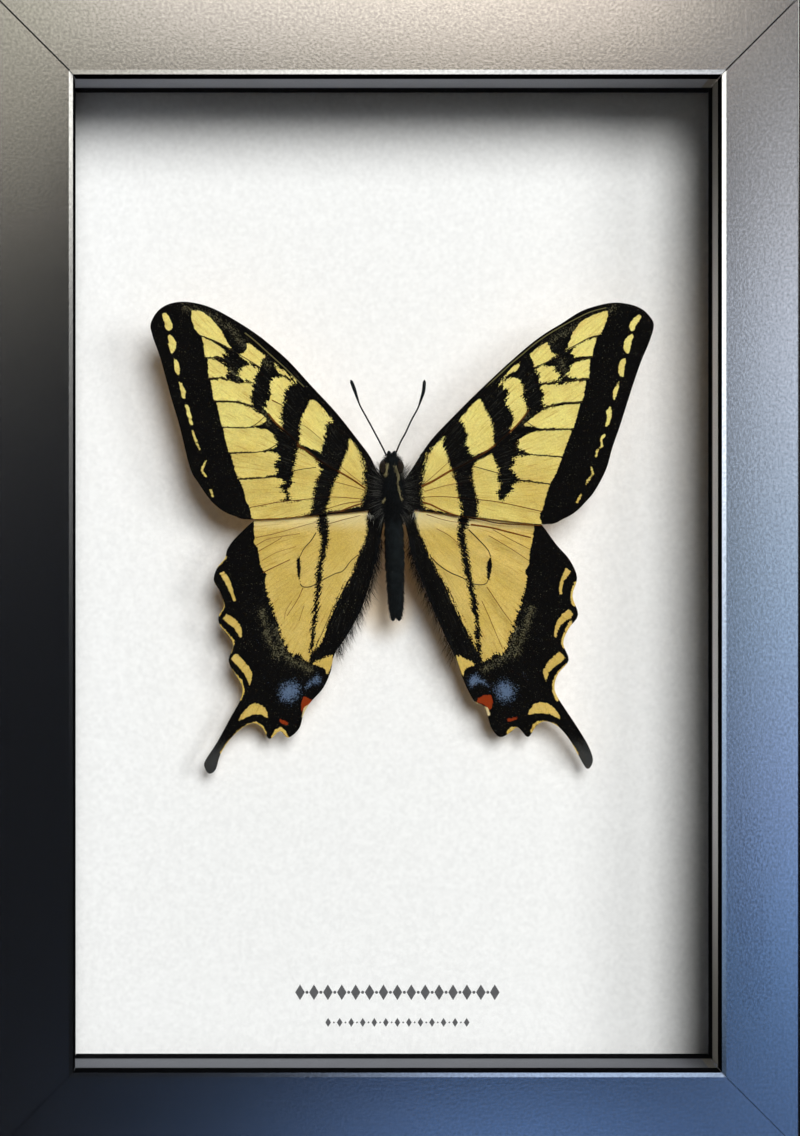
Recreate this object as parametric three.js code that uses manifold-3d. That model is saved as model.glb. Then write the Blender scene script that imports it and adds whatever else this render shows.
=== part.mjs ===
// A swallowtail butterfly in a black shadow-box frame. The box stands upright on its lower rail and its
// glass faces -Y. Millimetres, +Z up. The origin is at the middle of the box's footprint.

import * as THREE from 'three';
import { mergeVertices } from 'three/addons/utils/BufferGeometryUtils.js';
import Module from 'manifold-3d';

// ---------------------------------------------------------------- driving dimensions, in mm

const FRAME_WIDTH = 135;
const FRAME_HEIGHT = 193.5;
const FRAME_DEPTH = 31;
const GAP = 0.15; // left between pieces that touch

const RAIL_WIDTH = 13.15; // seen from the front
const RAIL_EDGE = 0.5; // rounding of the outer front edge, one chamfer here
const SIGHT_BEVEL = 0.6;
const LIP_THICKNESS = 4; // the wood in front of the glass
const RABBET_WIDTH = 4; // how far the lip stands over the rabbet

const GLASS_THICKNESS = 2;
const SPACER_SETBACK = 2; // the spacers' inner faces, behind the sight edge
const BOARD_DEPTH = 23.2; // from the front of the frame to the face of the mount board
const BOARD_THICKNESS = 1.6;
const BACKING_THICKNESS = 2.5;

const POINT_THICKNESS = 0.5;
const POINT_WIDTH = 7;
const POINT_LENGTH = 11;
const POINT_IN_WOOD = 3;
const POINT_OFFSET = 45; // of a side rail's two points, from its middle

const HANGER_LENGTH = 44;
const HANGER_HEIGHT = 7;
const HANGER_THICKNESS = 0.7;
const HANGER_RISE = 1.5; // the toothed middle stands off the board
const HANGER_MIDDLE = 26;
const HANGER_FOOT = 7.5; // the flat foot at each end
const HANGER_TOOTH = 1.3;
const HANGER_TEETH = 7;
const HANGER_DROP = 24; // from the top of the frame to the middle of the hanger

const NAIL_RADIUS = 0.6;
const NAIL_TIP = 0.6; // length of the pointed end
const NAIL_HEAD_RADIUS = 1.5;
const NAIL_HEAD_THICKNESS = 0.5;
const NAIL_LENGTH = 2.6;
const NAIL_HOLE_RADIUS = 0.75;
const ROUND_SIDES = 16; // of the nails and their holes
const THROUGH = 10; // length of a cutting tool that passes right through a piece

const WINGSPAN = 86.5; // from apex to apex of the forewings
const WING_THICKNESS = 0.4;
const ANTENNA_DEPTH = 10.8; // from the front of the frame

// Depth of a wing or the body's axis from the front of the frame, at the thorax and per mm below it:
// the insect leans, so that its tails are nearest to the board.
const FOREWING_SET = { depth: 11.9, lean: 0.05 };
const HINDWING_SET = { depth: 12.7, lean: 0.115 };
const BODY_SET = { depth: 12.4, lean: 0.1 };

const PAD_WIDTH = 4.2;
const PAD_HEIGHT = 6.5;

// ---------------------------------------------------------------- the insect's tracing grid
// The insect's outlines are drawn on a square grid in the plane of the frame's front, x to the right and
// y downwards. EYE is a point straight in front of the grid point FOOT, and a piece that lies deeper than
// the front is on the line from EYE through its grid point. The grid's cell follows from the wingspan.

const APEX_LEFT = [151.5, 322.7];
const APEX_RIGHT = [652.8, 322.7];
const APEX_DEPTH = 10.3;
const FOOT = [306, 568];
const FOOT_X = -15.3;
const FOOT_Z = FRAME_HEIGHT / 2 + 0.8;
const EYE_DISTANCE = 340;
const spread = (depth) => 1 + depth / EYE_DISTANCE;
const CELL = WINGSPAN / (APEX_RIGHT[0] - APEX_LEFT[0]) / spread(APEX_DEPTH);
const THORAX_GRID_Y = 489;
const THORAX_Z = FOOT_Z + (FOOT[1] - THORAX_GRID_Y) * CELL * spread(BODY_SET.depth);

const depthY = (depth) => depth - FRAME_DEPTH / 2;

// The place of a grid point that lies at a given depth.
function traced([x, y], depth) {
  const scale = CELL * spread(depth);
  return new THREE.Vector3(FOOT_X + (x - FOOT[0]) * scale, depthY(depth), FOOT_Z + (FOOT[1] - y) * scale);
}

// The place of a grid point on a leaning plane, found by three rounds of moving it to the plane's depth.
function tracedOn(point, { depth, lean }) {
  let place = traced(point, depth);
  for (let round = 0; round < 3; round++) place = traced(point, depth + lean * (THORAX_Z - place.z));
  return place;
}

// ---------------------------------------------------------------- helpers

const wasm = await Module();
wasm.setup();

function signedVolume(points, triangles) {
  let volume = 0;
  for (const [a, b, c] of triangles) {
    volume += points[a].dot(new THREE.Vector3().crossVectors(points[b], points[c])) / 6;
  }
  return volume;
}

// A closed geometry from a list of Vector3 and a list of corner triples, turned to face outwards.
function closedGeometry(points, triangles) {
  const outward = signedVolume(points, triangles) > 0;
  const corners = triangles.flatMap(([a, b, c]) => (outward ? [a, b, c] : [a, c, b]));
  const geometry = new THREE.BufferGeometry().setFromPoints(points);
  geometry.setIndex(corners);
  return geometry;
}

// Joins rings of points into a closed skin: quads between rings, a flat cap on the first and the last.
function loft(rings) {
  const size = rings[0].length;
  const triangles = [];
  for (let ring = 0; ring + 1 < rings.length; ring++) {
    for (let i = 0; i < size; i++) {
      const a = ring * size + i;
      const b = ring * size + ((i + 1) % size);
      triangles.push([a, b, b + size], [a, b + size, a + size]);
    }
  }
  return { points: rings.flat(), triangles, lastRing: (rings.length - 1) * size };
}

function solid(geometry) {
  const bare = geometry.clone();
  bare.deleteAttribute('normal');
  bare.deleteAttribute('uv');
  const merged = mergeVertices(bare, 1e-4);
  const vertProperties = new Float32Array(merged.attributes.position.array);
  const triVerts = new Uint32Array(merged.index.array);
  return new wasm.Manifold(new wasm.Mesh({ numProp: 3, vertProperties, triVerts }));
}

function cut(geometry, tools) {
  let body = solid(geometry);
  for (const tool of tools) body = body.subtract(solid(tool));
  const mesh = body.getMesh();
  const result = new THREE.BufferGeometry();
  result.setAttribute('position', new THREE.BufferAttribute(mesh.vertProperties, 3));
  result.setIndex(new THREE.BufferAttribute(mesh.triVerts, 1));
  return result;
}

function box(width, depth, height, x = 0, y = 0, z = 0) {
  return new THREE.BoxGeometry(width, depth, height).translate(x, y, z);
}

// A cylinder along Y.
function peg(radius, length, x = 0, y = 0, z = 0) {
  return new THREE.CylinderGeometry(radius, radius, length, ROUND_SIDES).translate(x, y, z);
}

const object = new THREE.Group();

function add(name, geometry, material, parent = object) {
  const mesh = new THREE.Mesh(geometry, material);
  mesh.name = name;
  parent.add(mesh);
  return mesh;
}

const finish = (color, roughness, metalness = 0) =>
  new THREE.MeshStandardMaterial({ color, roughness, metalness });

// ---------------------------------------------------------------- frame rails

const RABBET_WALL = RAIL_WIDTH - RABBET_WIDTH; // from the outside of the frame to the rabbet's wall
const BACK_OF_BOARDS = BOARD_DEPTH + BOARD_THICKNESS + GAP + BACKING_THICKNESS;
const POINT_DEPTH = BACK_OF_BOARDS + GAP + POINT_THICKNESS / 2;

// The moulding's section: [distance in from the outer edge, depth from the front].
const MOULDING = [
  [0, RAIL_EDGE],
  [RAIL_EDGE, 0],
  [RAIL_WIDTH - SIGHT_BEVEL, 0],
  [RAIL_WIDTH, SIGHT_BEVEL],
  [RAIL_WIDTH, LIP_THICKNESS],
  [RABBET_WALL, LIP_THICKNESS],
  [RABBET_WALL, FRAME_DEPTH],
  [0, FRAME_DEPTH],
];

// A rail along X with mitred ends. Its outer edge is at z = 0 and the opening is towards +Z.
function railGeometry(length, pointPlaces) {
  const section = MOULDING.map(([inward, depth]) => new THREE.Vector2(inward, depth));
  const end = (side) =>
    section.map(({ x: inward, y: depth }) =>
      new THREE.Vector3(side * (length / 2 - inward - GAP / 2), depthY(depth), inward));
  const { points, triangles, lastRing } = loft([end(-1), end(1)]);
  for (const [a, b, c] of THREE.ShapeUtils.triangulateShape(section, [])) {
    triangles.push([a, c, b], [lastRing + a, lastRing + b, lastRing + c]);
  }
  const slots = pointPlaces.map((x) =>
    box(POINT_WIDTH + 2 * GAP, POINT_THICKNESS + 2 * GAP, 2 * (POINT_IN_WOOD + GAP),
      x, depthY(POINT_DEPTH), RABBET_WALL));
  return cut(closedGeometry(points, triangles), slots);
}

const lacquer = () => finish(0x0e0f11, 0.22);

const SIDE_POINTS = [-POINT_OFFSET, POINT_OFFSET];

// Each rail: its name, length, turn about Y, place, and where its retaining points sit along it.
const RAILS = [
  ['frame_bottom', FRAME_WIDTH, 0, [0, 0, 0], [0]],
  ['frame_top', FRAME_WIDTH, Math.PI, [0, 0, FRAME_HEIGHT], [0]],
  ['frame_left', FRAME_HEIGHT, Math.PI / 2, [-FRAME_WIDTH / 2, 0, FRAME_HEIGHT / 2], SIDE_POINTS],
  ['frame_right', FRAME_HEIGHT, -Math.PI / 2, [FRAME_WIDTH / 2, 0, FRAME_HEIGHT / 2], SIDE_POINTS],
];

const steel = () => finish(0x9a9ca0, 0.35, 1);
let pointCount = 0;

for (const [name, length, turn, place, pointPlaces] of RAILS) {
  const side = new THREE.Group();
  side.rotation.y = turn;
  side.position.set(...place);
  object.add(side);
  add(name, railGeometry(length, pointPlaces), lacquer(), side);
  for (const x of pointPlaces) {
    pointCount += 1;
    const middle = RABBET_WALL - POINT_IN_WOOD + POINT_LENGTH / 2;
    const point = box(POINT_WIDTH, POINT_THICKNESS, POINT_LENGTH, x, depthY(POINT_DEPTH), middle);
    add(`retaining_point_${pointCount}`, point, steel(), side);
  }
}

// ---------------------------------------------------------------- glass, spacers and boards

const SHEET_MARGIN = RABBET_WALL + GAP; // from the outside of the frame to the edge of a sheet
const SHEET_WIDTH = FRAME_WIDTH - 2 * SHEET_MARGIN;
const SHEET_HEIGHT = FRAME_HEIGHT - 2 * SHEET_MARGIN;
const MIDDLE_Z = FRAME_HEIGHT / 2;

// A sheet that fills the rabbet, from one depth to another.
function sheet(front, thickness) {
  return box(SHEET_WIDTH, thickness, SHEET_HEIGHT, 0, depthY(front + thickness / 2), MIDDLE_Z);
}

const GLASS_FRONT = LIP_THICKNESS + GAP;
add('glass_pane', sheet(GLASS_FRONT, GLASS_THICKNESS), finish(0xe8f0ee, 0.02));

const SPACER_FRONT = GLASS_FRONT + GLASS_THICKNESS + GAP;
const SPACER_DEPTH = BOARD_DEPTH - GAP - SPACER_FRONT;
const SPACER_THICKNESS = RAIL_WIDTH - SPACER_SETBACK - SHEET_MARGIN;
const SPACER_Y = depthY(SPACER_FRONT + SPACER_DEPTH / 2);

for (const [name, side] of [['spacer_left', -1], ['spacer_right', 1]]) {
  const x = side * (SHEET_WIDTH - SPACER_THICKNESS) / 2;
  const strip = box(SPACER_THICKNESS, SPACER_DEPTH, SHEET_HEIGHT, x, SPACER_Y, MIDDLE_Z);
  add(name, strip, finish(0xd8d8d4, 0.7));
}
for (const [name, side] of [['spacer_bottom', -1], ['spacer_top', 1]]) {
  const length = SHEET_WIDTH - 2 * (SPACER_THICKNESS + GAP);
  const z = MIDDLE_Z + side * (SHEET_HEIGHT - SPACER_THICKNESS) / 2;
  add(name, box(length, SPACER_DEPTH, SPACER_THICKNESS, 0, SPACER_Y, z), finish(0xd8d8d4, 0.7));
}

add('mount_board', sheet(BOARD_DEPTH, BOARD_THICKNESS), finish(0xf0efec, 0.9));

const BACKING_FRONT = BOARD_DEPTH + BOARD_THICKNESS + GAP;
const HANGER_Z = FRAME_HEIGHT - HANGER_DROP;
const NAIL_X = (HANGER_LENGTH - HANGER_FOOT) / 2;
const nailHoles = [-NAIL_X, NAIL_X].map((x) =>
  peg(NAIL_HOLE_RADIUS, THROUGH, x, depthY(BACK_OF_BOARDS), HANGER_Z));
add('backing_board', cut(sheet(BACKING_FRONT, BACKING_THICKNESS), nailHoles), finish(0x8a6a48, 0.85));

// ---------------------------------------------------------------- sawtooth hanger and its nails

// The hanger is a bent strip, seen from above: [x, distance off the backing board] along its inner face.
const HANGER_BENDS = [
  [-HANGER_LENGTH / 2, 0],
  [-HANGER_LENGTH / 2 + HANGER_FOOT, 0],
  [-HANGER_MIDDLE / 2, HANGER_RISE],
  [HANGER_MIDDLE / 2, HANGER_RISE],
  [HANGER_LENGTH / 2 - HANGER_FOOT, 0],
  [HANGER_LENGTH / 2, 0],
];

function hangerGeometry() {
  const inner = HANGER_BENDS.map(([x, rise]) => new THREE.Vector2(x, rise));
  const outer = HANGER_BENDS.map(([x, rise]) => new THREE.Vector2(x, rise + HANGER_THICKNESS));
  const outline = new THREE.Shape([...inner, ...outer.reverse()]);
  const strip = new THREE.ExtrudeGeometry(outline, { depth: HANGER_HEIGHT, bevelEnabled: false });
  strip.translate(0, 0, -HANGER_HEIGHT / 2);
  const pitch = HANGER_MIDDLE / (HANGER_TEETH + 1);
  const notches = Array.from({ length: HANGER_TEETH }, (_, i) => {
    const x = (i - (HANGER_TEETH - 1) / 2) * pitch;
    const side = HANGER_TOOTH * Math.SQRT2;
    const notch = new THREE.BoxGeometry(side, THROUGH, side).rotateY(Math.PI / 4);
    return notch.translate(x, HANGER_RISE, -HANGER_HEIGHT / 2);
  });
  const holes = [-NAIL_X, NAIL_X].map((x) => peg(NAIL_HOLE_RADIUS, THROUGH, x, 0, 0));
  return cut(strip, [...notches, ...holes]);
}

const HANGER_FACE = BACK_OF_BOARDS + GAP;
const hanger = add('sawtooth_hanger', hangerGeometry(), finish(0xb9a46a, 0.3, 1));
hanger.position.set(0, depthY(HANGER_FACE), HANGER_Z);

// A nail: a shank along Y with a thin round head, turned as one closed profile.
function nailGeometry() {
  const profile = [
    [0, 0],
    [NAIL_RADIUS, NAIL_TIP],
    [NAIL_RADIUS, NAIL_LENGTH],
    [NAIL_HEAD_RADIUS, NAIL_LENGTH],
    [NAIL_HEAD_RADIUS, NAIL_LENGTH + NAIL_HEAD_THICKNESS],
    [0, NAIL_LENGTH + NAIL_HEAD_THICKNESS],
  ].map(([radius, height]) => new THREE.Vector2(radius, height));
  return new THREE.LatheGeometry(profile, ROUND_SIDES);
}

for (const [name, x] of [['hanger_nail_left', -NAIL_X], ['hanger_nail_right', NAIL_X]]) {
  const nail = add(name, nailGeometry(), steel());
  nail.position.set(x, depthY(HANGER_FACE + HANGER_THICKNESS + GAP - NAIL_LENGTH), HANGER_Z);
}

// ---------------------------------------------------------------- butterfly: body

// The body is turned about its own axis, from crown to tail tip: [grid y, radius in mm].
const BODY_PROFILE = [
  [453, 0], [455, 0.85], [459, 1.6], [465, 2.1], [470, 1.9], [474, 1.6], [481, 2.25], [489, 2.6],
  [499, 2.4], [507, 1.8], [514, 1.45], [535, 1.55], [565, 1.55], [592, 1.4], [607, 1.15], [616, 0.7],
  [619, 0],
];
const CROWN = tracedOn([391.4, 453], BODY_SET);
const TAIL_TIP = tracedOn([396, 619], BODY_SET);
const THORAX_RADIUS = 2.6;
const BODY_SIDES = 20;

// The point of the body's axis at a grid height.
function axisAt(y) {
  const [from, to] = [BODY_PROFILE[0][0], BODY_PROFILE.at(-1)[0]];
  return CROWN.clone().lerp(TAIL_TIP, (y - from) / (to - from));
}

const bodyAxis = TAIL_TIP.clone().sub(CROWN);
const bodyProfile = BODY_PROFILE.map(([y, radius]) =>
  new THREE.Vector2(radius, axisAt(y).distanceTo(CROWN)));
const body = add('body', new THREE.LatheGeometry(bodyProfile, BODY_SIDES), finish(0x121212, 0.7));
body.quaternion.setFromUnitVectors(new THREE.Vector3(0, 1, 0), bodyAxis.clone().normalize());
body.position.copy(CROWN);

const thorax = axisAt(THORAX_GRID_Y);
const padFront = thorax.y + THORAX_RADIUS + 2 * GAP;
const padBack = depthY(BOARD_DEPTH) - GAP;
add('mounting_pad', box(PAD_WIDTH, padBack - padFront, PAD_HEIGHT, thorax.x,
  (padFront + padBack) / 2, thorax.z), finish(0xe6e2d8, 0.9));

// ---------------------------------------------------------------- butterfly: wings
// Outlines on the tracing grid, smooth through their points. Each starts and ends at the thorax,
// where its root is a straight edge.

const FOREWING_LEFT = [
  [375.5, 468], [367, 452], [336.6, 414], [310.8, 386.4], [285, 358.9], [260.9, 337.4], [233.3, 319.3],
  [207.5, 306.4], [181.7, 302], [162, 308], [151.5, 322.7], [153, 336], [161, 358.9], [171.3, 396.8],
  [180, 426], [190.3, 467.4], [198.9, 482.9], [211, 500], [223, 510.4], [235, 515.6], [250.5, 519],
  [310, 515.5], [375, 509.5],
];
const FOREWING_RIGHT = [
  [410.5, 470], [429.3, 441.5], [451.7, 417.4], [477.5, 391.6], [506.8, 364], [537.8, 340], [563.6, 322.7],
  [589.4, 309], [615.3, 302.9], [640, 308], [652.8, 322.7], [648, 341.7], [639.4, 365.8], [629, 393.3],
  [620.4, 420.9], [615.3, 439.8], [604, 468], [592.9, 491.5], [580.8, 503.5], [568.8, 513.9],
  [543, 523.9], [478, 517], [410.5, 509],
];
const HINDWING_LEFT = [
  [375, 500], [300, 502], [262, 515], [238, 535], [227.9, 548], [225, 558], [217.7, 566.6], [214, 579.5],
  [221, 592], [224.2, 605.4], [218.7, 615.6], [220.5, 624.8], [230, 636], [233.5, 646], [228.8, 660],
  [237.2, 675.7], [242.7, 686.8], [240, 699.7], [230.7, 716.4], [217.7, 740.4], [205.7, 759], [209.4, 772.2],
  [215.9, 768.2], [220.5, 753.4], [229.8, 738.6], [243.6, 725.6], [254.7, 721.9], [263, 727.5],
  [269.5, 737.7], [280, 729.8], [288, 736.4], [299, 727.5], [303, 714.5], [307, 706], [313, 698.3],
  [323.2, 686.8], [330.6, 670.2], [334.3, 653.5], [349, 631.3], [362, 605.4], [372, 574], [377, 545],
];
const HINDWING_RIGHT = [
  [411, 500], [490, 504], [530, 514], [555.7, 544.4], [568.6, 559.2], [576, 577], [571.4, 595],
  [577, 614], [567.7, 627.6], [562.2, 642.4], [567.7, 659], [557.5, 672], [553.5, 684], [555.7, 694.2],
  [565, 709], [576, 725.6], [587, 744], [591.8, 759], [586, 767.5], [577, 753.4], [568.6, 738.6],
  [557.5, 725.6], [544.6, 720], [535.3, 724.7], [527, 735.8], [517, 726], [509.5, 731.2], [499.3, 735.8],
  [491, 727.5], [487.3, 716.4], [483.6, 705.3], [475.2, 701.6], [468.8, 692.3], [461.4, 675.7],
  [456.8, 660.9], [441, 627.6], [426.2, 592.5], [414, 560], [411, 535],
];
const STEPS_PER_POINT = 2;

// A thin plate on a wing's leaning plane. Its outline is a smooth curve closed by the straight root.
function wingGeometry(outline, set) {
  const curve = new THREE.SplineCurve(outline.map(([x, y]) => new THREE.Vector2(x, y)));
  const rim = curve.getPoints(STEPS_PER_POINT * (outline.length - 1));
  if (THREE.ShapeUtils.isClockWise(rim)) rim.reverse();
  const face = (shift) => rim.map(({ x, y }) =>
    tracedOn([x, y], set).add(new THREE.Vector3(0, shift, 0)));
  const { points, triangles, lastRing } = loft([face(-WING_THICKNESS / 2), face(WING_THICKNESS / 2)]);
  for (const [a, b, c] of THREE.ShapeUtils.triangulateShape(rim, [])) {
    triangles.push([a, c, b], [lastRing + a, lastRing + b, lastRing + c]);
  }
  return closedGeometry(points, triangles);
}

const wingFilm = () => finish(0xd8c26a, 0.6);
add('forewing_left', wingGeometry(FOREWING_LEFT, FOREWING_SET), wingFilm());
add('forewing_right', wingGeometry(FOREWING_RIGHT, FOREWING_SET), wingFilm());
add('hindwing_left', wingGeometry(HINDWING_LEFT, HINDWING_SET), wingFilm());
add('hindwing_right', wingGeometry(HINDWING_RIGHT, HINDWING_SET), wingFilm());

// ---------------------------------------------------------------- butterfly: antennae

const ANTENNA_LEFT = [[384.8, 452.5], [372.9, 427.9], [362, 410], [356.8, 397.5], [350.5, 379.3]];
const ANTENNA_RIGHT = [[398, 452.5], [408.6, 427.9], [417.5, 408.2], [422.9, 393.9], [424.3, 379.3]];
const SHAFT_RADIUS = 0.16;
const CLUB_RADIUS = 0.32;
const CLUB_START = 0.7; // share of the length where the club begins to swell
const CLUB_FULL = 0.9;
const TIP_START = 0.95;
const TIP_SHARE = 0.7;
const ANTENNA_STEPS = 24;
const ANTENNA_SIDES = 8;

function antennaRadius(t) {
  const swell = THREE.MathUtils.smoothstep(t, CLUB_START, CLUB_FULL);
  return (t > TIP_START ? TIP_SHARE : 1) * THREE.MathUtils.lerp(SHAFT_RADIUS, CLUB_RADIUS, swell);
}

function antennaGeometry(route) {
  const curve = new THREE.CatmullRomCurve3(route.map((point) => traced(point, ANTENNA_DEPTH)));
  const towardsGlass = new THREE.Vector3(0, -1, 0);
  const rings = [];
  for (let step = 0; step <= ANTENNA_STEPS; step++) {
    const t = step / ANTENNA_STEPS;
    const middle = curve.getPointAt(t);
    const across = new THREE.Vector3().crossVectors(curve.getTangentAt(t), towardsGlass).normalize();
    const ring = [];
    for (let i = 0; i < ANTENNA_SIDES; i++) {
      const angle = (i / ANTENNA_SIDES) * 2 * Math.PI;
      const out = across.clone().multiplyScalar(Math.cos(angle));
      out.addScaledVector(towardsGlass, Math.sin(angle));
      ring.push(middle.clone().addScaledVector(out, antennaRadius(t)));
    }
    rings.push(ring);
  }
  const { points, triangles, lastRing } = loft(rings);
  for (let i = 1; i + 1 < ANTENNA_SIDES; i++) {
    triangles.push([0, i + 1, i], [lastRing, lastRing + i, lastRing + i + 1]);
  }
  return closedGeometry(points, triangles);
}

add('antenna_left', antennaGeometry(ANTENNA_LEFT), finish(0x141414, 0.5));
add('antenna_right', antennaGeometry(ANTENNA_RIGHT), finish(0x141414, 0.5));

export default object;
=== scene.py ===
"""A swallowtail butterfly behind glass in a black shadow box. Lengths are in mm until a mesh is finished."""

import math
import random

import bmesh
import bpy
import numpy as np
from mathutils import Matrix, Vector


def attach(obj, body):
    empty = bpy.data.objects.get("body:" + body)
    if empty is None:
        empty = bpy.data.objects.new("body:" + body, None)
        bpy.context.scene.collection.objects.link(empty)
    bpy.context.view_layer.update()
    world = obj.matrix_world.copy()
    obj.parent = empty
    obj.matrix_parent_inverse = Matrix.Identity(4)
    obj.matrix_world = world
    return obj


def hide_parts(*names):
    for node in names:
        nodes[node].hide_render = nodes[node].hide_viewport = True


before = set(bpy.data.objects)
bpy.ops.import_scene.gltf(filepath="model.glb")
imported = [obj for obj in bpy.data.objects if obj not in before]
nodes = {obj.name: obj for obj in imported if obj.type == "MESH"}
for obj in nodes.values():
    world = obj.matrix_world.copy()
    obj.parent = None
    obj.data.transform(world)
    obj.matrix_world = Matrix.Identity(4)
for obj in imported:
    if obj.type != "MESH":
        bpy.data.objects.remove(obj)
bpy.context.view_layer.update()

MM = 0.001
FRAME_HEIGHT = 193.5
FRAME_DEPTH = 31
SIGHT_HALF_WIDTH = 54.35
SIGHT_HALF_HEIGHT = 83.6
SIGHT_ROUND = 0.8  # radius of the rounded edge of the sight


# ---------------------------------------------------------------- colour and material helpers

def linear(hex_colour):
    """The linear colour of an sRGB hex value such as "f2efe6"."""
    channels = [int(hex_colour[i:i + 2], 16) / 255 for i in (0, 2, 4)]
    return [c / 12.92 if c <= 0.04045 else ((c + 0.055) / 1.055) ** 2.4 for c in channels] + [1]


def add_node(tree, kind, settings, inputs):
    """Adds a node. Settings are its properties, and inputs its sockets' values or what they link to."""
    new = tree.nodes.new(kind)
    for name, value in settings.items():
        setattr(new, name, value)
    for name, value in inputs.items():
        if isinstance(value, bpy.types.NodeSocket):
            tree.links.new(value, new.inputs[name])
        else:
            new.inputs[name].default_value = value
    return new


def new_material(name, base, **shader_values):
    """A material with one Principled shader, its tree, its shader and its Object coordinates in mm."""
    material = bpy.data.materials.new(name)
    material.use_nodes = True
    tree = material.node_tree
    shader = tree.nodes["Principled BSDF"]
    shader.inputs["Base Color"].default_value = linear(base)
    for socket, value in shader_values.items():
        shader.inputs[socket.replace("_", " ")].default_value = value
    coordinates = add_node(tree, "ShaderNodeTexCoord", {}, {})
    scaled = add_node(tree, "ShaderNodeVectorMath", {"operation": "SCALE"},
                      {0: coordinates.outputs["Object"], "Scale": 1 / MM})
    return material, tree, shader, scaled.outputs["Vector"]


def set_stops(ramp, stops):
    """Gives a Color Ramp node its stops, as (place, hex colour)."""
    elements = ramp.color_ramp.elements
    while len(elements) < len(stops):
        elements.new(1)
    for element, (place, colour) in zip(elements, stops):
        element.position = place
        element.color = linear(colour)


# ---------------------------------------------------------------- frame and board materials

def satin_black_lacquer():
    """Sprayed black lacquer: a pebbled skin. Its grains, drawn 0.5 mm across, are coarser than life."""
    material, tree, shader, place = new_material("satin_black_lacquer", "101113", Roughness=0.2)
    grains = add_node(tree, "ShaderNodeTexNoise", {},
                      {"Vector": place, "Scale": 1 / 0.5, "Detail": 2.0, "Roughness": 0.6})
    cloud = add_node(tree, "ShaderNodeTexNoise", {},
                     {"Vector": place, "Scale": 1 / 2.5, "Detail": 3.0, "Roughness": 0.6})
    bump = add_node(tree, "ShaderNodeBump", {},
                    {"Height": grains.outputs["Fac"], "Strength": 0.15, "Distance": 0.08 * MM})
    flecks = add_node(tree, "ShaderNodeMapRange", {},
                      {"Value": grains.outputs["Fac"], "From Min": 0.3, "From Max": 0.7,
                       "To Min": 0.41, "To Max": 0.59})
    tree.links.new(flecks.outputs[0], shader.inputs["Specular IOR Level"])
    rough = add_node(tree, "ShaderNodeMapRange", {},
                     {"Value": cloud.outputs["Fac"], "To Min": 0.17, "To Max": 0.23})
    tree.links.new(rough.outputs[0], shader.inputs["Roughness"])
    tree.links.new(bump.outputs[0], shader.inputs["Normal"])
    return material


def flat_black_lip():
    """The same lacquer where the spray missed it, inside the sight: flat black and faintly streaked."""
    material, tree, shader, place = new_material(
        "flat_black_lip", "0b0b0c", Roughness=0.85, Specular_IOR_Level=0.0)
    streaks = add_node(tree, "ShaderNodeTexNoise", {}, {"Vector": place, "Scale": 1 / 0.8, "Detail": 3.0})
    tint = add_node(tree, "ShaderNodeMix", {"data_type": "RGBA"},
                    {0: streaks.outputs["Fac"], 6: linear("070708"), 7: linear("111214")})
    tree.links.new(tint.outputs[2], shader.inputs["Base Color"])
    return material


def clear_float_glass():
    """Polished soda-lime float glass: clear, with a faint waviness."""
    material, tree, shader, place = new_material(
        "clear_float_glass", "fbfdfc", Roughness=0.0, IOR=1.5, Transmission_Weight=1.0)
    wave = add_node(tree, "ShaderNodeTexNoise", {}, {"Vector": place, "Scale": 1 / 60, "Detail": 0.0})
    bump = add_node(tree, "ShaderNodeBump", {},
                    {"Height": wave.outputs["Fac"], "Strength": 0.02, "Distance": 0.05 * MM})
    tree.links.new(bump.outputs[0], shader.inputs["Normal"])
    return material


# A brown shadow painted on the board behind the abdomen, for the warm shade under the wings: its middle and
# half sizes in mm.
PAINTED_SHADOW_MIDDLE = (-1.4, 0, 95.5)
PAINTED_SHADOW_HALF_WIDTH = 8.5
PAINTED_SHADOW_HALF_HEIGHT = 12.5


def white_rag_board():
    """Matt white cotton board: a soft tooth 0.7 mm across, and a faint brown painted shadow behind the
    abdomen.
    """
    material, tree, shader, place = new_material(
        "white_rag_board", "f1f1f1", Roughness=0.9, Specular_IOR_Level=0.0)
    cloud = add_node(tree, "ShaderNodeTexNoise", {},
                     {"Vector": place, "Scale": 1 / 0.8, "Detail": 4.0, "Roughness": 0.7})
    tooth = add_node(tree, "ShaderNodeTexNoise", {},
                     {"Vector": place, "Scale": 1 / 0.7, "Detail": 3.0, "Roughness": 0.6})
    share = add_node(tree, "ShaderNodeMapRange", {},
                     {"Value": cloud.outputs["Fac"], "From Min": 0.35, "From Max": 0.65})
    tint = add_node(tree, "ShaderNodeMix", {"data_type": "RGBA"},
                    {0: share.outputs[0], 6: linear("eaeaea"), 7: linear("f5f5f5")})
    # Painted shadow: the board turns brown in an oval behind the abdomen.
    apart = add_node(tree, "ShaderNodeVectorMath", {"operation": "SUBTRACT"},
                     {0: place, 1: PAINTED_SHADOW_MIDDLE})
    apart = add_node(tree, "ShaderNodeVectorMath", {"operation": "MULTIPLY"},
                     {0: apart.outputs[0], 1: (1 / PAINTED_SHADOW_HALF_WIDTH, 0, 1 / PAINTED_SHADOW_HALF_HEIGHT)})
    apart = add_node(tree, "ShaderNodeVectorMath", {"operation": "LENGTH"}, {0: apart.outputs[0]})
    painted_shadow_share = add_node(tree, "ShaderNodeMapRange", {"interpolation_type": "SMOOTHSTEP"},
                     {"Value": apart.outputs["Value"], "From Min": 1.0, "From Max": 0.35, "To Max": 0.75})
    with_painted_shadow = add_node(tree, "ShaderNodeMix", {"data_type": "RGBA"},
                     {0: painted_shadow_share.outputs[0], 6: tint.outputs[2], 7: linear("e2c9a2")})
    bump = add_node(tree, "ShaderNodeBump", {},
                    {"Height": tooth.outputs["Fac"], "Strength": 0.3, "Distance": 0.06 * MM})
    tree.links.new(with_painted_shadow.outputs[2], shader.inputs["Base Color"])
    tree.links.new(bump.outputs[0], shader.inputs["Normal"])
    return material


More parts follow.
